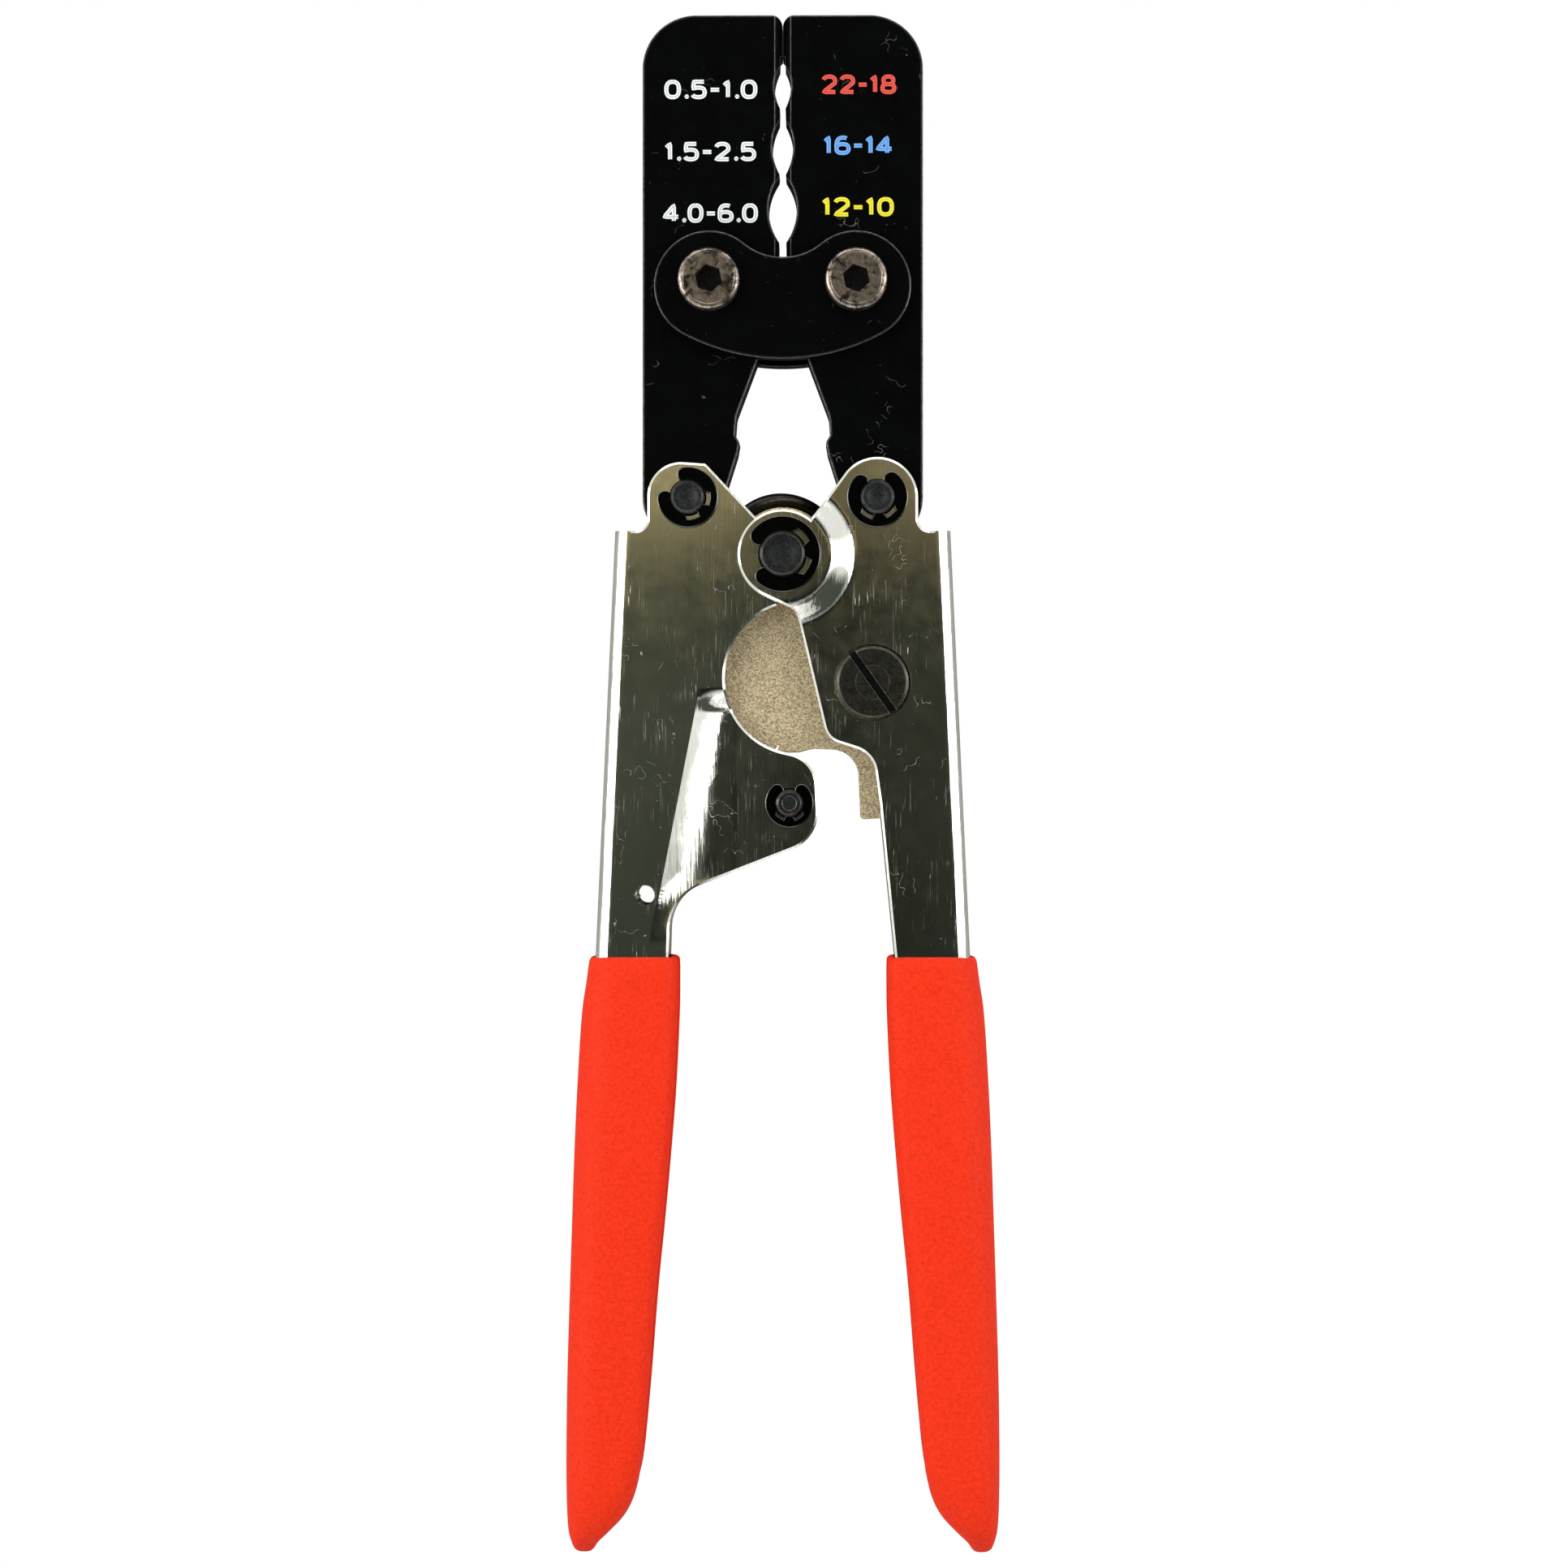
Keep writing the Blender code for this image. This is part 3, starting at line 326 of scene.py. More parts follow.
def join_ring(shape, ring, before):
    """Joins a ring of points to the edges of the ring before it, and gives its own edges."""
    members = set(ring)
    edges = [e for e in {e for v in ring for e in v.link_edges} if set(e.verts) <= members]
    if before:
        bmesh.ops.bridge_loops(shape, edges=[*before, *edges])
    return edges


def tube(points, radius, sides=14):
    """A round wire swept along points, with closed ends."""
    shape = bmesh.new()
    points = [Vector(p) for p in points]
    normal = (points[1] - points[0]).normalized().orthogonal().normalized()
    before = None
    for i, point in enumerate(points):
        ahead = points[min(i + 1, len(points) - 1)] - point
        back = point - points[max(i - 1, 0)]
        along = (ahead.normalized() + back.normalized()).normalized()
        normal = (normal - along * normal.dot(along)).normalized()
        ring = bmesh.ops.create_circle(shape, segments=sides, radius=radius)["verts"]
        basis = Matrix((normal, along.cross(normal), along)).transposed().to_4x4()
        bmesh.ops.transform(shape, matrix=Matrix.Translation(point) @ basis, verts=ring)
        before = join_ring(shape, ring, before)
    bmesh.ops.holes_fill(shape, edges=shape.edges)
    bmesh.ops.recalc_face_normals(shape, faces=shape.faces)
    return shape


# Figures, drawn with one stroke width as an engraver's cutter does


def bowl(centre, rx, ry, start, end):
    """A squarish arc of a figure, in units of its height."""

    def squared(value, radius):
        return radius * abs(value) ** 0.8 * (1 if value > 0 else -1)

    turns = arc((0, 0), 1, start, end, 15)
    return [(centre[0] + squared(x, rx), centre[1] + squared(y, ry)) for x, y in turns]


# Each figure's strokes and the room that it takes
FIGURES = {
    "0": ([bowl((0.42, 0.5), 0.33, 0.42, 90, 450)], 1.0),
    "1": ([[(0.1, 0.72), (0.3, 0.92), (0.3, 0.08)]], 0.62),
    "2": ([bowl((0.42, 0.66), 0.32, 0.26, 165, -15) + [(0.1, 0.08), (0.76, 0.08)]], 1.0),
    "4": ([[(0.58, 0.08), (0.58, 0.92), (0.06, 0.3), (0.82, 0.3)]], 1.0),
    "5": (
        [[(0.7, 0.92), (0.18, 0.92), (0.14, 0.54)] + bowl((0.41, 0.34), 0.33, 0.26, 120, -155)], 1.0
    ),
    "6": (
        [bowl((0.46, 0.46), 0.36, 0.46, 62, 190) + bowl((0.43, 0.32), 0.33, 0.24, 190, 560)], 1.0
    ),
    "8": (
        [bowl((0.42, 0.71), 0.27, 0.21, -90, 270), bowl((0.42, 0.29), 0.33, 0.22, -270, 90)], 1.0
    ),
    "-": ([[(0.05, 0.48), (0.5, 0.48)]], 0.66),
    ".": ([[(0.09, 0.11), (0.23, 0.11)], [(0.16, 0.06), (0.16, 0.16)]], 0.36),
}


def written(words, centre, width, height):
    """Every stroke of a row of figures, centred on a point and fitted to a width."""
    strokes = []
    reach = 0.0
    for sign in words:
        lines, room = FIGURES[sign]
        strokes += [[(x + reach, y) for x, y in line] for line in lines]
        reach += room
    left = min(x for line in strokes for x, y in line)
    right = max(x for line in strokes for x, y in line)
    scale = width / (right - left)
    return [
        [
            (centre[0] + (x - (left + right) / 2) * scale, centre[1] + (y - 0.5) * height)
            for x, y in line
        ]
        for line in strokes
    ]


def add_stroke(shape, points, radius, rise):
    """A flattened bead of paint along a stroke, standing just proud of the jaw's face."""
    points = [Vector((x, y, 0)) for x, y in points]
    fine = [points[0]]
    for point in points[1:]:
        count = max(1, int((point - fine[-1]).length / (0.25 * MM)))
        start = fine[-1].copy()
        fine += [start.lerp(point, i / count) for i in range(1, count + 1)]
    bead = tube(fine, radius, 10)
    for vert in bead.verts:
        wobble = 1 + 0.12 * sin(vert.co.x * 5200 + vert.co.y * 3100)
        vert.co.z = JAW_FACE + vert.co.z / radius * rise * wobble
    data = bpy.data.meshes.new("stroke")
    bead.to_mesh(data)
    bead.free()
    shape.from_mesh(data)
    bpy.data.meshes.remove(data)


# Materials


class Nodes:
    """A material's nodes, added in reading order and linked as they are made."""

    def __init__(self, name):
        self.material = bpy.data.materials.new(name)
        self.material.use_nodes = True
        self.tree = self.material.node_tree
        self.shader = self.tree.nodes["Principled BSDF"]
        self.places = self.add("ShaderNodeTexCoord").outputs["Object"]

    def add(self, kind, **settings):
        node = self.tree.nodes.new(kind)
        for key, value in settings.items():
            setattr(node, key, value)
        return node

    def link(self, source, target):
        self.tree.links.new(source, target)

    def stretched(self, scale):
        """Object coordinates in millimetres, scaled along each axis."""
        node = self.add("ShaderNodeMapping")
        node.inputs["Scale"].default_value = [1000 * s for s in scale]
        self.link(self.places, node.inputs["Vector"])
        return node.outputs["Vector"]

    def noise(self, scale, detail=4.0, rough=0.55, stretch=(1, 1, 1), distortion=0.0):
        node = self.add("ShaderNodeTexNoise")
        node.inputs["Scale"].default_value = scale
        node.inputs["Detail"].default_value = detail
        node.inputs["Roughness"].default_value = rough
        node.inputs["Distortion"].default_value = distortion
        self.link(self.stretched(stretch), node.inputs["Vector"])
        return node.outputs["Fac"]

    def cells(self, scale, stretch=(1, 1, 1), feature="F1", output="Distance"):
        node = self.add("ShaderNodeTexVoronoi", feature=feature)
        node.inputs["Scale"].default_value = scale
        self.link(self.stretched(stretch), node.inputs["Vector"])
        return node.outputs[output]

    def ramp(self, source, low, high, start=0.0, end=1.0):
        """Maps a value from low..high to start..end, held at both ends."""
        node = self.add("ShaderNodeMapRange")
        for key, value in zip(
            ("From Min", "From Max", "To Min", "To Max"), (low, high, start, end)
        ):
            node.inputs[key].default_value = value
        self.link(source, node.inputs["Value"])
        return node.outputs["Result"]

    def maths(self, operation, first, second):
        node = self.add("ShaderNodeMath", operation=operation)
        for socket, value in zip(node.inputs, (first, second)):
            if isinstance(value, (int, float)):
                socket.default_value = value
            else:
                self.link(value, socket)
        return node.outputs[0]

    def mixed(self, share, first, second):
        """A colour between two, each given as a colour or a socket."""
        node = self.add("ShaderNodeMix", data_type="RGBA")
        self.link(share, node.inputs["Factor"])
        for key, value in ((6, first), (7, second)):
            if isinstance(value, bpy.types.NodeSocket):
                self.link(value, node.inputs[key])
            else:
                node.inputs[key].default_value = (*value, 1.0)
        return node.outputs[2]

    def bump(self, height, distance, strength=1.0, normal=None):
        node = self.add("ShaderNodeBump")
        node.inputs["Strength"].default_value = strength
        node.inputs["Distance"].default_value = distance
        self.link(height, node.inputs["Height"])
        if normal is not None:
            self.link(normal, node.inputs["Normal"])
        return node.outputs["Normal"]

    def edges(self, radius, low, high):
        """A mask that is 1 along sharp edges and 0 on flats."""
        bevel = self.add("ShaderNodeBevel", samples=6)
        bevel.inputs["Radius"].default_value = radius
        geometry = self.add("ShaderNodeNewGeometry")
        dot = self.add("ShaderNodeVectorMath", operation="DOT_PRODUCT")
        self.link(bevel.outputs["Normal"], dot.inputs[0])
        self.link(geometry.outputs["True Normal"], dot.inputs[1])
        return self.ramp(dot.outputs["Value"], high, low)

    def strokes(self, scale, stretch, rare, spread):
        """Short straight marks: the peaks of a stretched noise, in patches."""
        peaks = self.ramp(self.noise(scale, 2.0, 0.5, stretch), rare, rare + 0.04)
        return self.maths("MULTIPLY", peaks, self.ramp(self.noise(0.11, 3.0), spread, spread + 0.1))

    def hairlines(self, scale, width, rare):
        """A few thin wandering lines, where a slow noise crosses its middle."""
        line = self.maths("ABSOLUTE", self.maths("SUBTRACT", self.noise(scale, 1.5, 0.5), 0.5), 0)
        patches = self.ramp(self.noise(0.17, 3.0, distortion=0.5), rare, rare + 0.04)
        return self.maths("MULTIPLY", self.ramp(line, width, 0), patches)

    def set(self, key, value):
        socket = self.shader.inputs[key]
        if isinstance(value, bpy.types.NodeSocket):
            self.link(value, socket)
        elif isinstance(value, (tuple, list)):
            socket.default_value = (*value[:3], 1.0)
        else:
            socket.default_value = value


def black_oxide(colour):
    """Satin black steel with a faint cast, small scratches and bright worn edges."""
    n = Nodes("black_oxide")
    cloud = n.ramp(n.noise(0.25, 5.0, 0.6), 0.35, 0.7)
    base = n.mixed(cloud, colour, [c * 1.8 for c in colour])
    speck = n.ramp(n.cells(0.9), 0.05, 0.02)
    speck = n.maths("MULTIPLY", speck, n.ramp(n.noise(0.4, 2.0), 0.56, 0.6))
    marks = n.hairlines(0.35, 0.006, 0.62)
    scuffs = n.strokes(2.2, (1.0, 0.16, 1.0), 0.71, 0.6)
    worn = n.maths(
        "MULTIPLY", n.edges(0.25 * MM, 0.92, 0.99), n.ramp(n.noise(1.2, 4.0), 0.3, 0.55, 0.4, 1.0)
    )
    bare = n.maths("MAXIMUM", n.maths("MAXIMUM", n.maths("MULTIPLY", scuffs, 0.3), speck), worn)
    bare = n.maths("MAXIMUM", bare, n.maths("MULTIPLY", marks, 0.5))
    n.set("Base Color", n.mixed(n.ramp(bare, 0, 1, 0, 0.8), base, (0.5, 0.5, 0.47)))
    n.set("Metallic", n.ramp(bare, 0, 1, 0.0, 0.9))
    n.set("Specular IOR Level", 0.04)
    n.set("Roughness", n.ramp(n.noise(1.4, 5.0, 0.65), 0.3, 0.7, 0.26, 0.38))
    n.set("Normal", n.bump(n.noise(6.0, 3.0, 0.6), 0.012 * MM, 0.4))
    return n.material


def plated_sheet(colour):
    """Bright plating on drawn sheet: faint cloudiness, dashes along the handles and hairlines."""
    n = Nodes("plated_sheet")
    cloud = n.noise(0.08, 5.0, 0.6, (1, 0.5, 1))
    tint = n.mixed(
        n.ramp(cloud, 0.35, 0.68), colour, [c * f for c, f in zip(colour, (0.84, 0.86, 0.78))]
    )
    dashes = n.strokes(3.0, (1.0, 0.07, 1.0), 0.7, 0.5)
    faint = n.strokes(5.0, (1.0, 0.035, 1.0), 0.62, 0.45)
    dots = n.maths(
        "MULTIPLY", n.ramp(n.cells(1.0), 0.07, 0.03), n.ramp(n.noise(0.33, 2.0), 0.57, 0.62)
    )
    hairs = n.hairlines(0.4, 0.005, 0.6)
    marks = n.maths("MAXIMUM", n.maths("MAXIMUM", dashes, dots), n.maths("MULTIPLY", hairs, 0.6))
    marks = n.maths("MAXIMUM", marks, n.maths("MULTIPLY", faint, 0.16))
    n.set("Base Color", n.mixed(n.ramp(marks, 0, 1, 0, 0.8), tint, (0.95, 0.95, 0.9)))
    n.set("Metallic", n.ramp(marks, 0, 1, 1.0, 0.35))
    smooth = n.ramp(n.noise(0.3, 4.0), 0.3, 0.75, 0.06, 0.13)
    n.set("Roughness", n.maths("ADD", smooth, n.ramp(marks, 0, 1, 0, 0.4)))
    # The streaks show on the pressed slopes and hardly at all on the flats.
    tilt = n.add("ShaderNodeSeparateXYZ")
    n.link(n.add("ShaderNodeNewGeometry").outputs["Normal"], tilt.inputs["Vector"])
    slope = n.ramp(n.maths("ABSOLUTE", tilt.outputs["Z"], 0), 0.995, 0.96, 0.06, 1.0)
    streaks = n.maths("MULTIPLY", n.noise(1.8, 3.0, 0.6, (1.0, 0.04, 1.0)), slope)
    n.set("Normal", n.bump(streaks, 0.05 * MM, 0.8))
    return n.material


def stained_nickel(colour):
    """Dull plating with dark oily stains."""
    n = Nodes("stained_nickel")
    stain = n.ramp(n.noise(0.55, 6.0, 0.7, distortion=0.6), 0.47, 0.6)
    tone = n.mixed(n.ramp(n.noise(1.6, 5.0, 0.7), 0.35, 0.65), colour, [c * 0.65 for c in colour])
    n.set("Base Color", n.mixed(stain, tone, (0.05, 0.042, 0.035)))
    n.set("Metallic", 0.9)
    n.set("Roughness", n.ramp(n.noise(1.5, 5.0), 0.3, 0.7, 0.18, 0.3))
    n.set("Normal", n.bump(n.noise(4.0, 4.0), 0.015 * MM, 0.3))
    return n.material


def dark_steel(name, colour, low, high):
    """Darkened steel whose rims are polished bright."""
    n = Nodes(name)
    worn = n.edges(0.22 * MM, 0.9, 0.99)
    cloud = n.ramp(n.noise(0.8, 5.0, 0.6), 0.35, 0.7)
    base = n.mixed(cloud, colour, [c * 1.6 for c in colour])
    n.set("Base Color", n.mixed(n.ramp(worn, 0, 1, 0, 0.7), base, (0.55, 0.54, 0.5)))
    n.set("Metallic", 1.0)
    n.set("Roughness", n.ramp(n.noise(2.5, 5.0), 0.3, 0.7, low, high))
    n.set("Normal", n.bump(n.noise(7.0, 3.0), 0.015 * MM, 0.4))
    return n.material


def painted_recess_shade(colour):
    """Painted shade at the bottom of a screw's socket or slot: a near-black, dull colour that
    stands in for the shadow in the recess.
    """
    n = Nodes("painted_recess_shade")
    n.set(
        "Base Color", n.mixed(n.ramp(n.noise(2.0, 4.0), 0.4, 0.7), colour, [c * 4 for c in colour])
    )
    n.set("Roughness", n.ramp(n.noise(1.5, 3.0), 0.3, 0.7, 0.6, 0.9))
    n.set("Specular IOR Level", 0.1)
    return n.material


def sintered(colour):
    """Tan sintered steel: a sandy grain with light and dark particles."""
    n = Nodes("sintered_steel")
    grain = n.noise(5.5, 6.0, 0.8)
    specks = n.cells(5.0, output="Color")
    grey = n.add("ShaderNodeSeparateColor")
    n.link(specks, grey.inputs["Color"])
    shade = n.maths(
        "ADD", n.maths("MULTIPLY", grain, 0.6), n.maths("MULTIPLY", grey.outputs[0], 0.4)
    )
    dark = [c * 0.42 for c in colour]
    light = [min(1.0, c * 1.6) for c in colour]
    n.set("Base Color", n.mixed(n.ramp(shade, 0.3, 0.75), dark, light))
    n.set("Metallic", 0.3)
    n.set("Roughness", n.ramp(grain, 0.3, 0.7, 0.42, 0.68))
    n.set("Normal", n.bump(shade, 0.06 * MM, 0.7))
    return n.material


def spring_wire(name, colour):
    """Drawn wire with fine lines along it and an oily gloss."""
    n = Nodes(name)
    n.set(
        "Base Color",
        n.mixed(n.ramp(n.noise(1.2, 4.0), 0.35, 0.7), colour, [c * 2.2 for c in colour]),
    )
    n.set("Metallic", 0.9)
    n.set("Roughness", n.ramp(n.noise(2.0, 4.0), 0.3, 0.7, 0.2, 0.38))
    n.set("Normal", n.bump(n.noise(6.0, 3.0, 0.6), 0.03 * MM, 0.5))
    return n.material


def dipped_vinyl(colour):
    """Matt vinyl skin with fine mottling, pale dust specks and dark pinholes."""
    n = Nodes("dipped_vinyl")
    mottle = n.noise(1.6, 6.0, 0.7)
    base = n.mixed(
        n.ramp(mottle, 0.3, 0.72),
        [c * 0.8 for c in colour],
        [min(1, c * 1.14 + 0.006) for c in colour],
    )
    holes = n.maths(
        "MULTIPLY", n.ramp(n.cells(0.55), 0.05, 0.03), n.ramp(n.noise(0.3, 2.0), 0.5, 0.56)
    )
    dust = n.maths(
        "MULTIPLY",
        n.ramp(n.cells(0.8, (1, 1.3, 1)), 0.05, 0.025),
        n.ramp(n.noise(0.21, 2.0), 0.52, 0.6),
    )
    base = n.mixed(holes, base, (0.25, 0.012, 0.006))
    n.set("Base Color", n.mixed(n.ramp(dust, 0, 1, 0, 0.7), base, (0.95, 0.62, 0.52)))
    n.set("Roughness", n.ramp(n.noise(0.6, 5.0), 0.3, 0.7, 0.5, 0.65))
    n.set("Specular IOR Level", 0.13)
    orange_peel = n.bump(n.noise(2.2, 5.0, 0.65), 0.12 * MM, 0.7)
    n.set("Normal", n.bump(holes, -0.12 * MM, 1.0, orange_peel))
    return n.material


def fill_paint(name, colour):
    """Paint wiped into an engraved figure, thin in places."""
    n = Nodes(name)
    thin = n.ramp(n.noise(3.0, 4.0, 0.6), 0.55, 0.75)
    n.set("Base Color", n.mixed(n.ramp(thin, 0, 1, 0, 0.45), colour, [c * 0.35 for c in colour]))
    n.set("Roughness", 0.55)
    n.set("Normal", n.bump(n.noise(5.0, 3.0), 0.02 * MM, 0.5))
    return n.material


# Jaws, link plates and ratchet

# Nests: distance down from the jaw's top, width across both jaws, length
NESTS = ((11.7, 2.7, 7.0), (21.6, 3.4, 9.0), (31.9, 4.6, 10.8))
LAND_END = JAW_TOP - 6.5 * MM
LAND_X = -0.02 * MM
FACE_FOOT = 49.0 * MM
FACE_EDGE = 1.3 * MM


def mating_face_x(y):
    """The left jaw's mating face, which opens slightly towards its foot."""
    return -(0.42 + 0.2 * (LAND_END - y) / (LAND_END - FACE_FOOT)) * MM


def left_jaw_outline():
    ear_x, ear_y = from_pivot(LEFT_EAR)
    outline = [(-23.0 * MM, JAW_TOP, 8.8 * MM), (LAND_X, JAW_TOP, 1.8 * MM)]
    outline += [(LAND_X, LAND_END, 0), (mating_face_x(LAND_END), LAND_END - 0.4 * MM, 0)]
    for drop, width, length in NESTS:
        y = JAW_TOP - drop * MM
        face_x = mating_face_x(y)
        depth = width / 2 * MM + face_x
        half = length / 2 * MM
        radius = (half**2 + depth**2) / (2 * depth)
        reach = degrees(atan2(half, radius - depth))
        nest = arc((face_x - depth + radius, y), radius, 180 - reach, 180 + reach)
        outline += plain(nest)
    outline += [(mating_face_x(FACE_FOOT), FACE_FOOT, 0)]
    outline += mm(
        [(-4.0, 32.4, 0), (-7.6, 22.8, 4), (-7.8, 19.8, 0.4), (-7.1, 18.6, 0.4), (-7.4, 16.8, 0)]
    )
    outline += plain(arc((ear_x - 0.5 * MM, ear_y), 7.0 * MM, 14, -180))
    return rounded(outline)


def jaw_shape():
    """The right jaw."""
    holes = [
        circle(from_pivot(LEFT_LINK), 4.2 * MM), circle(from_pivot(LEFT_EAR), EAR_PIN_R + PIN_FIT)
    ]
    outlines = [[(-x, y) for x, y in outline] for outline in (left_jaw_outline(), *holes)]
    return flat_plate(outlines, -JAW_FACE, JAW_FACE, 0.3 * MM)


def face_chamfer():
    """Two wedges that slope both edges of the right jaw's mating face."""
    shape = bmesh.new()
    size = 6 * MM
    for up in (-1, 1):
        cube = bmesh.ops.create_cube(shape, size=1)["verts"]
        bmesh.ops.scale(shape, vec=(size, 46 * MM, size), verts=cube)
        tilt = Matrix.Rotation(radians(45), 3, "Y")
        bmesh.ops.rotate(shape, cent=(0, 0, 0), matrix=tilt, verts=cube)
        away = size / 2 / sin(radians(45)) / 2
        bmesh.ops.translate(
            shape, vec=(FACE_EDGE - away, JAW_TOP - 19 * MM, up * (JAW_FACE + away)), verts=cube
        )
    return shape


def link_outline():
    """Two lobes, a valley between them and one wide arc underneath."""
    x, y = from_pivot(RIGHT_LINK)
    lobe_r = 9.0 * MM
    lobe_y = y - 0.8 * MM
    foot = y - 12.8 * MM
    valley = y + 3.9 * MM
    rise = lobe_y - foot
    wide_r = (x**2 + rise**2 - lobe_r**2) / (2 * (rise - lobe_r))
    dip = valley - lobe_y
    valley_r = (x**2 + dip**2 - lobe_r**2) / (2 * (lobe_r - dip))
    wide, top = (0.0, foot + wide_r), (0.0, valley + valley_r)
    low_angle = angle_to(wide, (x, lobe_y))
    high_angle = angle_to((x, lobe_y), top)
    points = arc(wide, wide_r, -180 - low_angle, low_angle, 2)
    points += arc((x, lobe_y), lobe_r, low_angle, high_angle, 3)[1:]
    points += arc(top, valley_r, high_angle - 180, -high_angle, 3)[1:]
    points += arc((-x, lobe_y), lobe_r, 180 - high_angle, 180 - low_angle, 3)[1:-1]
    return points


def ratchet_outline():
    """The toothed sector, its shoulders round the hub and the tail at the right."""
    tip_r, root, pitch = 32.3 * MM, 31.0 * MM, -49.0 / 12
    first = -87.0 + pitch
    points = []
    for tooth in range(11):
        start = first + pitch * tooth
        points += arc((0, 0), root, start, start + pitch * 0.12, 90)
        points += arc((0, 0), tip_r, start + pitch * 0.5, start + pitch * 0.85, 90)
    points += arc((0, 0), root, -136, -138, 90)
    corners = plain(points)
    corners += mm([(-22.6, -17.0, 2.0)])
    corners += plain(arc((0, 0), 7.6 * MM, 202, -17))
    corners += mm([(20.9, -13.4, 4.0), (21.4, -27.0, 4.0), (18.6, -34.5, 3.0), (17.4, -43.0, 0.6)])
    corners += mm(
        [
            (12.8, -43.3, 0.6),
            (12.3, -31.9, 4.5),
            (5.0, -31.6, 2.0),
            (2.6, -32.2, 0),
            (-1.0, -32.3, 0),
        ]
    )
    return rounded(corners)


# Handles


def channel_edge(y):
    """Where the right handle's flange meets its bend, at this distance above the pivot."""
    return 25.1 * MM + 0.0461 * (CHANNEL_TOP - y)


def tang_inner():
    return (channel_edge(TANG_FOOT) + BEND_R - 9.5 * MM, TANG_FOOT)


def left_flange():
    tang = tang_inner()
    outline = [(-channel_edge(CHANNEL_TOP), CHANNEL_TOP, 0), (-channel_edge(tang[1]), tang[1], 0)]
    outline += [(-tang[0], tang[1], 0)]
    outline += mm([(-18.7, -65.8, 0), (-18.4, -55.9, 8.0), (6.0, -46.4, 6.5), (5.4, -33.4, 5.5)])
    outline += plain(arc((2.95 * MM, -20.1 * MM), 12.45 * MM, 254.8, 108.0))
    outline += plain(arc((0, 0), 7.0 * MM, -92, 180 - degrees(atan2(5.7, 4.0))))
    outline += mm([(-12.6, 14.9, 0.8), (-22.1, 15.6, 5.5), (-22.1, 4.0, 2.0)])
    return rounded(outline)


def right_flange():
    tang = tang_inner()
    outline = [(channel_edge(CHANNEL_TOP), CHANNEL_TOP, 0), (22.1 * MM, 4.0 * MM, 2.0 * MM)]
    outline += plain(arc((15.5 * MM, 9.4 * MM), 6.6 * MM, 0, 141))
    outline += plain(arc((0, 0), 7.3 * MM, degrees(atan2(5.7, 4.6)), 243))
    outline += mm([(2.3, -9.2, 3.5), (7.3, -30.1, 3.5), (14.8, -32.5, 4.5), (15.9, -40.4, 0)])
    outline += [(18.4 * MM, -65.8 * MM, 0), (*tang, 0), (channel_edge(tang[1]), tang[1], 0)]
    return rounded(outline)


def cut_across(shape, point, normal, box=None):
    """Cuts the sheet along a line, all over or only inside a box of x and y."""
    faces = shape.faces[:]
    if box:
        (x0, y0), (x1, y1) = box
        faces = [
            f
            for f in faces
            if max(v.co.x for v in f.verts) > x0
            and min(v.co.x for v in f.verts) < x1
            and max(v.co.y for v in f.verts) > y0
            and min(v.co.y for v in f.verts) < y1
        ]
    geometry = {*faces}
    for face in faces:
        geometry.update(face.edges)
        geometry.update(face.verts)
    bmesh.ops.bisect_plane(
        shape, geom=list(geometry), plane_co=(*point, 0), plane_no=(*normal, 0), dist=1e-7
    )


def smooth_step(value):
    value = min(1.0, max(0.0, value))
    return value * value * (3 - 2 * value)


def press_boss(shape):
    """Steps the right flange outwards in a round ramp about the pivot."""
    reach = 13.2 * MM
    pitch = 0.32 * MM
    box = ((-reach, -reach), (reach, reach))
    count = int(reach / pitch)
    for i in range(-count, count + 1):
        cut_across(shape, (i * pitch, 0), (1, 0), box)
        cut_across(shape, (0, i * pitch), (0, 1), box)
    for vert in shape.verts:
        distance = hypot(vert.co.x, vert.co.y)
        share = (12.1 * MM - distance) / (4.5 * MM)
        vert.co.z += (BOSS_OUT - FLANGE_OUT) * smooth_step(share)


def press_lobe(shape):
    """Steps the left flange inwards to carry the pawl, past a crease down the channel."""
    crease = Vector((-13.7 * MM, -22.4 * MM))
    along = (Vector((-20.6 * MM, -57.9 * MM)) - crease).normalized()
    side = Vector((-along.y, along.x))
    depth = 4.2 * MM
    top = -21.6 * MM
    low = -64.8 * MM
    fade = 13 * MM
    box = ((-24 * MM, -65.5 * MM), (8 * MM, -20 * MM))
    steps = 20
    for i in range(steps + 1):
        cut_across(shape, (0, top - depth * i / steps), (0, 1), box)
        cut_across(shape, (0, low + fade * i / steps), (0, 1), box)
    cut_across(shape, crease - side * 0.3 * MM, side, box)
    for i in range(14):
        cut_across(shape, (0, top - depth - 2.3 * MM * i), (0, 1), box)
        cut_across(shape, crease + side * (0.9 * MM * i), side, box)
    for vert in shape.verts:
        run = smooth_step((crease.y - vert.co.y) / (36 * MM))
        across = (vert.co.xy - crease).dot(side) / ((6.2 + 5.6 * run) * MM)
        down = (top - vert.co.y) / depth
        up = (vert.co.y - low) / fade
        fall = 1 - (1 - min(1.0, max(0.0, across))) ** 2
        share = fall * smooth_step(down) * smooth_step(up)
        vert.co.z -= LOBE_STEP * share


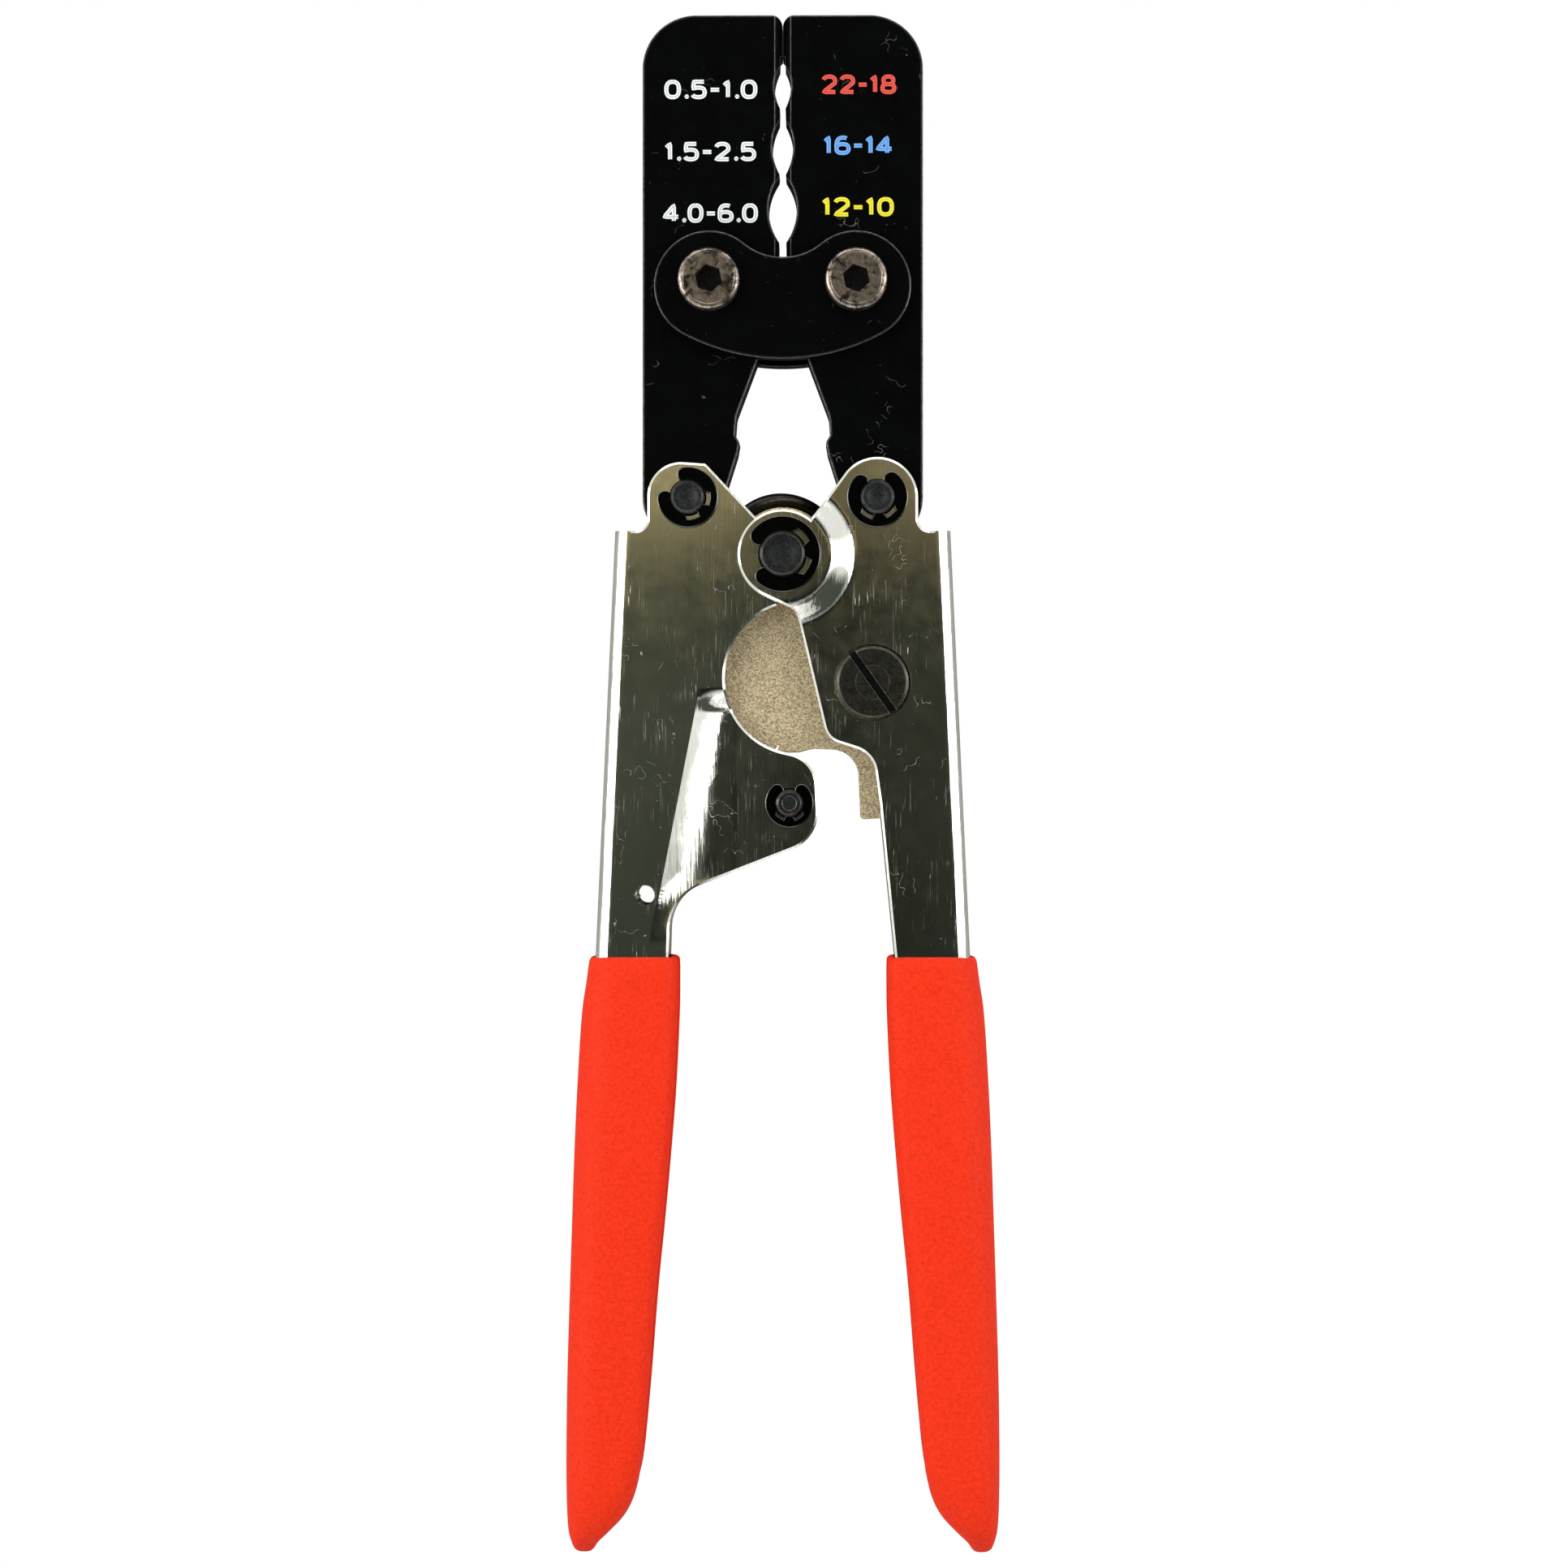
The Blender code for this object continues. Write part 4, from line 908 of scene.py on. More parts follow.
def channel(name, outlines, side, press, body, finish_material):
    """A folded sheet: one flange, its bend and half the web, mirrored and thickened."""
    top, end = (Vector((side * channel_edge(y), y, FLANGE_OUT)) for y in (CHANNEL_TOP, TANG_FOOT))
    along = (end - top).normalized()

    def on_bend(point):
        return abs((Vector(point) - top.xy).cross(along.xy)) < 1e-6

    shape = rimmed_sheet(outlines, FLANGE_OUT, on_bend)
    press(shape)
    line = [
        e
        for e in shape.edges
        if e.is_boundary and all((v.co - top).cross(along).length < 1e-6 for v in e.verts)
    ]
    bent = bmesh.ops.spin(
        shape,
        geom=line,
        cent=top - Vector((0, 0, BEND_R)),
        axis=along,
        angle=-side * pi / 2,
        steps=10,
        use_duplicate=False,
    )
    last = [item for item in bent["geom_last"] if isinstance(item, bmesh.types.BMEdge)]
    web = bmesh.ops.extrude_edge_only(shape, edges=last)
    for vert in web["geom"]:
        if isinstance(vert, bmesh.types.BMVert):
            vert.co.z = 0.0
    bmesh.ops.remove_doubles(shape, verts=shape.verts, dist=1e-7)
    bmesh.ops.recalc_face_normals(shape, faces=shape.faces)
    widest = max(shape.faces, key=lambda face: face.calc_area() * abs(face.normal.z))
    if widest.normal.z < 0:
        bmesh.ops.reverse_faces(shape, faces=shape.faces)
    obj = add_piece(name, shape, finish_material, place=False)
    mirror = obj.modifiers.new("rear_half", "MIRROR")
    mirror.use_axis = (False, False, True)
    mirror.merge_threshold = 1e-5
    sheet = obj.modifiers.new("sheet", "SOLIDIFY")
    sheet.thickness = SHEET
    sheet.offset = -1.0
    sheet.use_even_offset = True
    settle(obj, SHARP_FOLD)
    obj.modifiers.new("flat_faces", "WEIGHTED_NORMAL").keep_sharp = True
    settle(obj, None)
    obj.data.transform(Matrix.Translation(PIVOT))
    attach(obj, body)
    return stands_for(obj, name.replace("_channel", "_handle"))


# Grips

# Distance above the pivot, inner x, outer x and half thickness as a share, top to foot
GRIP_STATIONS = (
    (-65.8, 17.9, 31.2, 0.765),
    (-65.95, 17.4, 31.6, 0.79),
    (-66.4, 17.1, 31.9, 0.81),
    (-70.0, 17.05, 32.4, 0.832),
    (-74.8, 17.1, 33.1, 0.86),
    (-87.5, 17.7, 33.9, 0.92),
    (-99.0, 18.6, 34.4, 0.97),
    (-110.0, 19.6, 34.75, 0.99),
    (-121.0, 20.7, 35.1, 1.0),
    (-135.0, 21.8, 35.5, 1.0),
    (-146.0, 22.8, 35.65, 0.99),
    (-151.0, 23.4, 35.65, 0.97),
    (-154.6, 24.4, 35.6, 0.92),
    (-157.6, 26.0, 35.5, 0.84),
    (-160.2, 28.4, 35.3, 0.71),
    (-162.2, 30.4, 34.8, 0.52),
    (-163.2, 31.0, 34.4, 0.38),
    (-163.6, 31.4, 33.9, 0.28),
)


def station(y):
    """The grip's inner x, outer x and share at a height, on a smooth curve through the stations."""
    rows = GRIP_STATIONS
    i = max(0, min(len(rows) - 2, sum(1 for row in rows if row[0] > y) - 1))
    span = rows[i][0] - rows[i + 1][0]
    t = (rows[i][0] - y) / span
    out = []
    for k in (1, 2, 3):
        before = rows[max(i - 1, 0)]
        after = rows[min(i + 2, len(rows) - 1)]
        slope0 = (rows[i + 1][k] - before[k]) / max(before[0] - rows[i + 1][0], 1e-9) * span
        slope1 = (after[k] - rows[i][k]) / max(rows[i][0] - after[0], 1e-9) * span
        t2, t3 = t * t, t * t * t
        out.append(
            (2 * t3 - 3 * t2 + 1) * rows[i][k]
            + (t3 - 2 * t2 + t) * slope0
            + (3 * t2 - 2 * t3) * rows[i + 1][k]
            + (t3 - t2) * slope1
        )
    return out


def grip_heights():
    heights = [row[0] for row in GRIP_STATIONS[:3]]
    y = heights[-1]
    while y > GRIP_STATIONS[-1][0] + 0.7:
        y -= 1.3 if y > -152 else 0.6
        heights.append(y)
    return [*heights, -163.2, -163.45, GRIP_STATIONS[-1][0]]


def grip_shape(side, thick):
    """A squarish oval tube whose inner side shows the two folded edges under the skin."""
    shape = bmesh.new()
    sides = 128
    before = None
    for y in sorted(set(grip_heights()), reverse=True):
        inner, outer, share = station(y)
        middle = (inner + outer) / 2
        ring = bmesh.ops.create_circle(shape, segments=sides, radius=1)["verts"]
        fade = smooth_step((y + 158) / 14)
        for vert in ring:
            across, level = vert.co.x, vert.co.y
            # The inner half is squarer, because it lies over the channel's two edges.
            power = 2 / (2.9 if across > 0 else 2.9 + 3.4 * fade)
            x = abs(across) ** power * (1 if across > 0 else -1)
            z = abs(level) ** power * (1 if level > 0 else -1)
            hollow = smooth_step((-x - 0.8) / 0.16) * smooth_step((0.66 - abs(z)) / 0.12)
            x += 0.085 * hollow * fade
            vert.co = (side * (middle + x * (outer - inner) / 2) * MM, y * MM, z * share * thick)
        before = join_ring(shape, ring, before)
    bmesh.ops.holes_fill(shape, edges=shape.edges)
    bmesh.ops.recalc_face_normals(shape, faces=shape.faces)
    return shape


def grip_pocket(side):
    """The room for the channel inside the grip, open at its top."""
    foot = tang_inner()
    gap = 0.12 * MM
    top = -55 * MM
    outline = [
        (channel_edge(top) + BEND_R + gap, top),
        (17.9 * MM, top),
        (18.4 * MM - gap, -65.8 * MM),
        (foot[0] - gap, foot[1] - gap),
        (channel_edge(foot[1]) + BEND_R + gap, foot[1] - gap),
    ]
    outline = [(side * x, y) for x, y in outline]
    half = FLANGE_OUT + gap
    shape = outline_mesh([outline], -half)
    bmesh.ops.dissolve_limit(shape, angle_limit=radians(1), verts=shape.verts, edges=shape.edges)
    raise_faces(shape, 2 * half)
    bmesh.ops.recalc_face_normals(shape, faces=shape.faces)
    outside = [
        e
        for e in shape.edges
        if abs(e.verts[0].co.z - e.verts[1].co.z) < 1e-6
        and all(abs(v.co.x) > channel_edge(top) for v in e.verts)
        and e.calc_length() > 20 * MM
    ]
    bmesh.ops.bevel(
        shape, geom=outside, offset=BEND_R, affect="EDGES", segments=10, profile=0.5, material=-1
    )
    return shape


# Clips, pins and screws


def clip_outline(centre, pin_r, outer_r, mouth):
    """An E-shaped clip with two reliefs behind the pin, open towards the mouth's angle."""
    bite_r = pin_r - 0.55 * MM + PIN_FIT
    relief_r = (bite_r + outer_r) / 2
    wide_r = (bite_r * 3 + relief_r) / 4
    back = mouth + 180
    tips = 136.0
    tip_r = (outer_r - bite_r) / 2
    tip_at = (outer_r + bite_r) / 2
    outline = arc(centre, outer_r, back - tips, back + tips)
    for sign in (1, -1):
        end = radians(back + sign * tips)
        tip = (centre[0] + tip_at * cos(end), centre[1] + tip_at * sin(end))
        start_angle = back + sign * tips
        half_turn = arc(tip, tip_r, start_angle, start_angle + sign * 180, 15)
        if sign > 0:
            outline += half_turn[1:-1]
            for start, stop, radius in (
                (tips, tips - 22, bite_r),
                (tips - 26, 62, wide_r),
                (50, 20, relief_r),
                (12, -12, bite_r),
                (-20, -50, relief_r),
                (-62, 26 - tips, wide_r),
                (22 - tips, -tips, bite_r),
            ):
                outline += arc(centre, radius, back + start, back + stop)
        else:
            outline += half_turn[1:-1][::-1]
    return outline


def pin_profile(radius, head_r, seat):
    """A headed pin with a clip's groove, for faces this far from the middle."""
    head = -seat - FACE_GAP
    groove = seat + FACE_GAP
    groove_end = groove + CLIP_THICK + 0.1 * MM
    top = groove_end + 0.9 * MM
    neck = radius - 0.55 * MM
    rim = 0.32 * MM
    return [
        (0, top - 0.06 * MM),
        (radius * 0.5, top - 0.05 * MM),
        (radius * 0.56, top),
        (radius - rim - 0.05 * MM, top),
        (radius - 0.06 * MM, top - rim),
        (radius, top - rim - 0.1 * MM),
        (radius, groove_end),
        (neck, groove_end),
        (neck, groove - 0.1 * MM),
        (radius, groove - 0.1 * MM),
        (radius, head),
        (head_r - 0.1 * MM, head),
        (head_r, head - 0.1 * MM),
        (head_r, head - 0.95 * MM),
        (head_r - 0.3 * MM, head - 1.25 * MM),
        (0, head - 1.25 * MM),
    ]


def socket_cutter(centre, flats, low, high):
    shape = bmesh.new()
    radius = flats / 2 / cos(pi / 6)
    bmesh.ops.create_cone(
        shape, cap_ends=True, segments=6, radius1=radius, radius2=radius, depth=high - low
    )
    bmesh.ops.rotate(
        shape, cent=(0, 0, 0), matrix=Matrix.Rotation(radians(12), 3, "Z"), verts=shape.verts
    )
    bmesh.ops.translate(shape, vec=(*centre, (low + high) / 2), verts=shape.verts)
    return shape


# Operators


class CrimperSettings(bpy.types.PropertyGroup):
    """Sizes and colours that change the finish."""

    oxide_colour: FloatVectorProperty(
        name="Oxide colour",
        description="Jaws and link plates",
        subtype="COLOR",
        default=(0.001, 0.0013, 0.0012),
        min=0,
        max=1,
    )
    plating_colour: FloatVectorProperty(
        name="Plating colour",
        description="Handles",
        subtype="COLOR",
        default=(0.8, 0.8, 0.75),
        min=0,
        max=1,
    )
    nickel_colour: FloatVectorProperty(
        name="Nickel colour",
        description="Socket screws",
        subtype="COLOR",
        default=(0.5, 0.42, 0.35),
        min=0,
        max=1,
    )
    sinter_colour: FloatVectorProperty(
        name="Sinter colour",
        description="Ratchet plate and pawl",
        subtype="COLOR",
        default=(0.56, 0.46, 0.28),
        min=0,
        max=1,
    )
    vinyl_colour: FloatVectorProperty(
        name="Vinyl colour",
        description="Grips",
        subtype="COLOR",
        default=(0.86, 0.029, 0.002),
        min=0,
        max=1,
    )
    screw_head: FloatProperty(
        name="Screw head",
        description="Diameter of the socket screws' heads",
        unit="LENGTH",
        default=10.1 * MM,
        min=6 * MM,
        max=14 * MM,
    )
    figure_height: FloatProperty(
        name="Figure height",
        description="Height of the crimp sizes on the jaws",
        unit="LENGTH",
        default=3.0 * MM,
        min=1 * MM,
        max=6 * MM,
    )
    coil_turns: IntProperty(
        name="Pawl spring turns",
        description="Turns of the pawl's spring",
        default=17,
        min=4,
        max=30,
    )
    view_distance: FloatProperty(
        name="View distance",
        description="Camera's height above the tool",
        unit="LENGTH",
        default=0.62,
        min=0.2,
        max=3,
    )
    view_width: FloatProperty(
        name="View width",
        description="Width that the picture takes in",
        unit="LENGTH",
        default=0.2562,
        min=0.1,
        max=3,
    )


def settings():
    return bpy.context.scene.crimper


FINISHES = {}
PAINTS = {
    "white_fill": (0.85, 0.88, 0.86),
    "white_core": (0.42, 0.45, 0.44),
    "red_fill": (0.75, 0.08, 0.055),
    "red_core": (0.6, 0.03, 0.02),
    "blue_fill": (0.16, 0.4, 0.85),
    "blue_core": (0.06, 0.22, 0.62),
    "yellow_fill": (0.88, 0.8, 0.03),
    "yellow_core": (0.7, 0.58, 0.01),
}


def finish_of(name):
    """The finish with this name, made the first time that it is asked for."""
    own = settings()
    makers = {
        "oxide": lambda: black_oxide(own.oxide_colour),
        "plating": lambda: plated_sheet(own.plating_colour),
        "nickel": lambda: stained_nickel(own.nickel_colour),
        "pin": lambda: dark_steel("dark_pin", (0.05, 0.055, 0.055), 0.24, 0.42),
        "clip": lambda: dark_steel("black_clip", (0.008, 0.009, 0.009), 0.14, 0.26),
        "gunmetal": lambda: dark_steel("gunmetal", (0.05, 0.05, 0.04), 0.25, 0.4),
        # The recess finish is painted shade: a near-black colour standing in for the shadow inside
        # sockets and slots.
        "recess": lambda: painted_recess_shade((0.003, 0.003, 0.003)),
        "sinter": lambda: sintered(own.sinter_colour),
        "black_wire": lambda: spring_wire("black_wire", (0.02, 0.018, 0.015)),
        "bright_wire": lambda: spring_wire("bright_wire", (0.42, 0.42, 0.4)),
        "vinyl": lambda: dipped_vinyl(own.vinyl_colour),
    }
    if name not in FINISHES:
        FINISHES[name] = fill_paint(name, PAINTS[name]) if name in PAINTS else makers[name]()
    return FINISHES[name]


class CRIMPER_OT_fittings(bpy.types.Operator):
    """Gives the pawl, the spacer and the nut their finishes"""

    bl_idname = "crimper.fittings"
    bl_label = "Finish the fittings"

    def execute(self, context):
        for node, finish in (
            ("pawl", "sinter"), ("adjuster_spacer", "gunmetal"), ("adjuster_nut", "gunmetal")
        ):
            data = frame["nodes"][node].data
            data.materials.clear()
            data.materials.append(finish_of(finish))
        return {"FINISHED"}


class CRIMPER_OT_jaws(bpy.types.Operator):
    """Adds both jaws"""

    bl_idname = "crimper.jaws"
    bl_label = "Add jaws"

    def execute(self, context):
        right = add_piece("right_crimping_jaw", jaw_shape(), finish_of("oxide"))
        cut_with(right, add_piece("wedges", face_chamfer(), finish_of("oxide")), SHARP_EDGE)
        shape = bmesh.new()
        shape.from_mesh(right.data)
        shape.transform(Matrix.Diagonal((-1, 1, 1, 1)))
        bmesh.ops.reverse_faces(shape, faces=shape.faces)
        left = add_piece("left_crimping_jaw", shape, finish_of("oxide"), place=False)
        for obj, side in ((left, "left"), (right, "right")):
            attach(obj, f"{side}_jaw")
            stands_for(obj, f"{side}_jaw")
        return {"FINISHED"}


class CRIMPER_OT_links(bpy.types.Operator):
    """Adds the front and rear link plates"""

    bl_idname = "crimper.links"
    bl_label = "Add link plates"

    def execute(self, context):
        holes = [
            circle(from_pivot(place), LINK_SHANK_R + PIN_FIT) for place in (LEFT_LINK, RIGHT_LINK)
        ]
        inner = JAW_FACE + FACE_GAP
        for name, low, high in (("front", inner, LINK_OUT), ("rear", -LINK_OUT, -inner)):
            shape = flat_plate([link_outline(), *holes], low, high, 0.28 * MM)
            obj = add_piece(f"{name}_kidney_plate", shape, finish_of("oxide"), "link")
            stands_for(obj, f"{name}_link_plate")
        return {"FINISHED"}


class CRIMPER_OT_ratchet(bpy.types.Operator):
    """Adds the toothed plate with its hub"""

    bl_idname = "crimper.ratchet"
    bl_label = "Add ratchet plate"

    def execute(self, context):
        bore = circle((0, 0), PIVOT_BORE_R)
        cam = circle((15.3 * MM, -20.8 * MM), 4.15 * MM)
        shape = flat_plate([ratchet_outline(), bore, cam], -RATCHET_FACE, RATCHET_FACE, 0.15 * MM)
        obj = add_piece("toothed_plate", shape, finish_of("sinter"), "right_handle")
        stands_for(obj, "ratchet_plate")
        hub = flat_plate([circle((0, 0), 7.95 * MM), bore], -HUB_FACE, HUB_FACE, 0.3 * MM)
        hub = add_piece("ratchet_hub", hub, finish_of("sinter"), "right_handle")
        return {"FINISHED"}


class CRIMPER_OT_handles(bpy.types.Operator):
    """Adds both folded handles"""

    bl_idname = "crimper.handles"
    bl_label = "Add handles"

    def execute(self, context):
        pivot_hole = circle((0, 0), PIVOT_BORE_R)
        ear_r = 2.9 * MM
        anchor = circle(SPRING_ANCHOR, 1.55 * MM, 40)
        pawl_hole = circle(from_pivot(PAWL_PIVOT), 2.35 * MM)
        left_holes = [circle(from_pivot(LEFT_EAR), ear_r), pawl_hole, anchor]
        adjuster_hole = circle(ADJUSTER, 6.2 * MM)
        right_holes = [circle(from_pivot(RIGHT_EAR), ear_r), adjuster_hole]
        plating = finish_of("plating")
        channel(
            "left_channel",
            [left_flange(), pivot_hole, *left_holes],
            -1,
            press_lobe,
            "left_handle",
            plating,
        )
        channel(
            "right_channel",
            [right_flange(), pivot_hole, *right_holes],
            1,
            press_boss,
            "right_handle",
            plating,
        )
        return {"FINISHED"}


class CRIMPER_OT_grips(bpy.types.Operator):
    """Adds both dipped grips"""

    bl_idname = "crimper.grips"
    bl_label = "Add grips"

    def execute(self, context):
        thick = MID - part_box("left_grip")[0].z
        for name, side in (("left", -1), ("right", 1)):
            vinyl = finish_of("vinyl")
            obj = add_piece(f"{name}_grip_skin", grip_shape(side, thick), vinyl)
            pocket = add_piece(f"{name}_pocket", grip_pocket(side), vinyl)
            cut_with(obj, pocket)
            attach(obj, f"{name}_handle")
            stands_for(obj, f"{name}_grip")
        return {"FINISHED"}


class CRIMPER_OT_screws(bpy.types.Operator):
    """Adds the two socket screws of the link plates"""

    bl_idname = "crimper.screws"
    bl_label = "Add socket screws"

    def execute(self, context):
        head_r = settings().screw_head / 2
        seat = LINK_OUT + FACE_GAP
        top = seat + 3.0 * MM
        shank = LINK_SHANK_R
        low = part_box("left_link_screw")[0].z - MID
        rim_r = 0.7 * MM
        flat_r = head_r - rim_r
        rim = [
            (flat_r + rim_r * sin(radians(a)), top - rim_r * (1 - cos(radians(a))))
            for a in range(0, 91, 10)
        ]
        groove = [(flat_r - 0.25 * MM, top), (flat_r - 0.12 * MM, top - 0.1 * MM)]
        profile = [
            (0, top),
            *groove,
            *rim,
            (head_r, seat + 0.15 * MM),
            (head_r - 0.15 * MM, seat),
            (shank, seat),
        ]
        profile += [(shank, low + 0.5 * MM), (shank - 0.5 * MM, low), (0, low)]
        for name, place in (("left", LEFT_LINK), ("right", RIGHT_LINK)):
            centre = from_pivot(place)
            obj = add_piece(
                f"{name}_socket_screw", turned_shape(profile, centre), finish_of("nickel")
            )
            depth = 2.2 * MM
            socket = socket_cutter(centre, 4.0 * MM, top - depth, top + 1 * MM)
            cut_with(obj, add_piece("socket", socket, finish_of("nickel")))
            # Painted shade: the socket's faces below its mouth get the near-black recess colour for
            # the shadow inside it.
            darken_inside(obj, PIVOT + Vector((*centre, top)), 2.4 * MM, 0.25 * MM)
            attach(obj, "link")
            stands_for(obj, f"{name}_link_screw")
        return {"FINISHED"}


class CRIMPER_OT_pins(bpy.types.Operator):
    """Adds the pins and their clips"""

    bl_idname = "crimper.pins"
    bl_label = "Add pins and clips"

    def execute(self, context):
        lobe_out = FLANGE_OUT - LOBE_STEP
        for name, place, pin_r, head_r, clip_r, seat, mouth, body in (
            ("pivot", PIVOT, 3.65, 5.6, 6.2, BOSS_OUT, 187, "right_handle"),
            ("left_ear", LEFT_EAR, 2.75, 4.3, 4.95, FLANGE_OUT, 140, "left_handle"),
            ("right_ear", RIGHT_EAR, 2.75, 4.3, 4.95, FLANGE_OUT, 95, "right_handle"),
            ("pawl", PAWL_PIVOT, 2.2, 3.4, 3.95, lobe_out, 90, "left_handle"),
        ):
            centre = from_pivot(place)
            profile = pin_profile(pin_r * MM, head_r * MM, seat)
            pin = add_piece(
                f"{name}_turned_pin", turned_shape(profile, centre), finish_of("pin"), body
            )
            stands_for(pin, f"{name}_pin")
            low = seat + FACE_GAP
            outline = clip_outline(centre, pin_r * MM, clip_r * MM, mouth)
            shape = flat_plate([outline], low, low + CLIP_THICK, 0.14 * MM)
            clip = add_piece(f"{name}_spring_clip", shape, finish_of("clip"), body)
            stands_for(clip, f"{name}_clip")
        return {"FINISHED"}


class CRIMPER_OT_adjuster(bpy.types.Operator):
    """Adds the slotted adjuster disc with its stud"""

    bl_idname = "crimper.adjuster"
    bl_label = "Add adjuster"

    def execute(self, context):
        low_corner, high_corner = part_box("adjuster_screw")
        centre = ADJUSTER
        top = high_corner.z - MID
        low = low_corner.z - MID
        disc_r = 5.95 * MM
        profile = [(0, top)]
        for share, drop in ((0.43, 0), (0.45, 0), (0.47, 0.03), (0.49, 0), (0.51, 0)):
            profile.append((disc_r * share, top - drop * MM))
        for back, drop in ((0.6, 0), (0.55, 0), (0.35, 0.06), (0.1, 0.25), (0, 0.5)):
            profile.append((disc_r - back * MM, top - drop * MM))
        profile.append((disc_r, 2.2 * MM))
        profile += mm([(4.0, 2.2), (4.0, -2.2), (3.0, -2.2)])
        profile += [(3.0 * MM, low + 0.35 * MM), (2.65 * MM, low), (0, low)]
        obj = add_piece("adjuster_disc", turned_shape(profile, centre), finish_of("gunmetal"))
        slot = bmesh.new()
        bmesh.ops.create_cube(slot, size=1)
        bmesh.ops.scale(slot, vec=(3 * disc_r, 1.2 * MM, 1.8 * MM), verts=slot.verts)
        slot.transform(Matrix.Translation((*centre, top)) @ Matrix.Rotation(radians(-55), 4, "Z"))
        cut_with(obj, add_piece("slot", slot, finish_of("gunmetal")))
        # Painted shade: faces more than 0.3 mm below the disc's top and inside its radius, the
        # slot's walls and floor among them, get the near-black recess colour for the shadow in the
        # slot.
        darken_inside(obj, PIVOT + Vector((*centre, top)), disc_r - 0.15 * MM, 0.3 * MM)
        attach(obj, "right_handle")
        stands_for(obj, "adjuster_screw")
        return {"FINISHED"}


class CRIMPER_OT_springs(bpy.types.Operator):
    """Adds the opening spring and the pawl's spring"""

    bl_idname = "crimper.springs"
    bl_label = "Add springs"

    def execute(self, context):
        self.add_opening_spring()
        self.add_pawl_spring()
        return {"FINISHED"}

    def add_opening_spring(self):
        """Left leg in front, a turn and a third round the hub, right leg behind."""
        level = 3.35 * MM
        radius = 9.35 * MM
        middle = -1.15 * MM
        total = 480.0
        leg = Vector((-sin(radians(30)), -cos(radians(30)), 0)) * 33 * MM
        coil = []
        for i in range(201):
            turned_by = total * i / 200
            angle = radians(150 - turned_by)
            top = min(1.0, max(0.0, (turned_by - 25) / 95))
            side = min(1.0, max(0.0, (turned_by - 147) / 20))
            z = level - (level - middle) * (1 - cos(pi * top)) / 2
            z -= (middle + level) * (1 - cos(pi * side)) / 2
            coil.append(Vector((radius * cos(angle), radius * sin(angle), z)))
        right_leg = Vector((-leg.x, leg.y, 0))
        points = [coil[0] + leg * t for t in (1.0, 0.75, 0.5, 0.25)] + coil
        points += [coil[-1] + right_leg * t for t in (0.25, 0.5, 0.75, 1.0)]
        obj = add_piece(
            "coiled_opening_spring", tube(points, 1.05 * MM, 20), finish_of("black_wire")
        )
        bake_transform(obj)
        stands_for(obj, "opening_spring")

    def add_pawl_spring(self):
        """A close coil between the pawl's arm and the hole in the left handle."""
        pawl = Vector((*from_pivot(PAWL_PIVOT), 0))
        turn = radians(208)
        arm = pawl + Vector((cos(turn), sin(turn), 0)) * 7.6 * MM
        anchor = Vector((*SPRING_ANCHOR, 0))
        along = (anchor - arm).normalized()
        across = Vector((0, 0, 1)).cross(along)
        up = Vector((0, 0, 1))
        start = arm + along * 4.7 * MM
        end = anchor - along * 3.7 * MM
        turns = settings().coil_turns
        steps = turns * 16
        points = [arm, arm + along * 2.5 * MM]
        for i in range(steps + 1):
            angle = 2 * pi * turns * i / steps
            rise = min(1.0, i / 8, (steps - i) / 8)
            ring = (across * cos(angle) + up * sin(angle)) * 1.3 * MM * rise
            points.append(start.lerp(end, i / steps) + ring)
        round_hole = ((1.1, 2.25), (-0.9, 2.3), (-2.2, 1.1), (-2.3, -0.1), (-1.8, -0.45))
        points += [anchor + Vector((*place, 0)) * MM for place in round_hole]
        points += [anchor + Vector((-1.3, -0.3, z)) * MM for z in (0.2, 0.9, 3.0, 6.2)]
        obj = add_piece("coiled_pawl_spring", tube(points, 0.36 * MM, 8), finish_of("bright_wire"))
        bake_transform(obj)
        stands_for(obj, "pawl_spring")


class CRIMPER_OT_sizes(bpy.types.Operator):
    """Adds the plain crimp sizes in the jaws' faces"""

    bl_idname = "crimper.sizes"
    bl_label = "Add crimp sizes"

    def execute(self, context):
        height = settings().figure_height
        for name, words, x, y, width, paint, body in (
            ("metric_top", "0.5-1.0", -11.8, 76.5, 14.6, "white", "left_jaw"),
            ("metric_middle", "1.5-2.5", -11.9, 66.3, 14.4, "white", "left_jaw"),
            ("metric_foot", "4.0-6.0", -11.9, 56.2, 15.0, "white", "left_jaw"),
            ("gauge_top", "22-18", 12.5, 77.3, 11.6, "red", "right_jaw"),
            ("gauge_middle", "16-14", 12.4, 67.3, 10.9, "blue", "right_jaw"),
            ("gauge_foot", "12-10", 12.3, 57.2, 11.2, "yellow", "right_jaw"),
        ):
            for suffix, kind, stroke, rise in (
                ("", "fill", 0.7, 0.035), ("_core", "core", 0.2, 0.05)
            ):
                shape = bmesh.new()
                for points in written(words, (x * MM, y * MM), width * MM, height):
                    add_stroke(shape, points, stroke / 2 * MM, rise * MM)
                obj = add_piece(f"figures_{name}{suffix}", shape, finish_of(f"{paint}_{kind}"))
                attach(obj, body)
        return {"FINISHED"}


def soft_light(name, place, target, size, power):
    light = bpy.data.lights.new(name, "AREA")
    light.shape = "RECTANGLE"
    light.size, light.size_y = size
    light.energy = power
    obj = linked(name, light)
    obj.location = place
    obj.rotation_euler = (Vector(target) - Vector(place)).to_track_quat("-Z", "Y").to_euler()


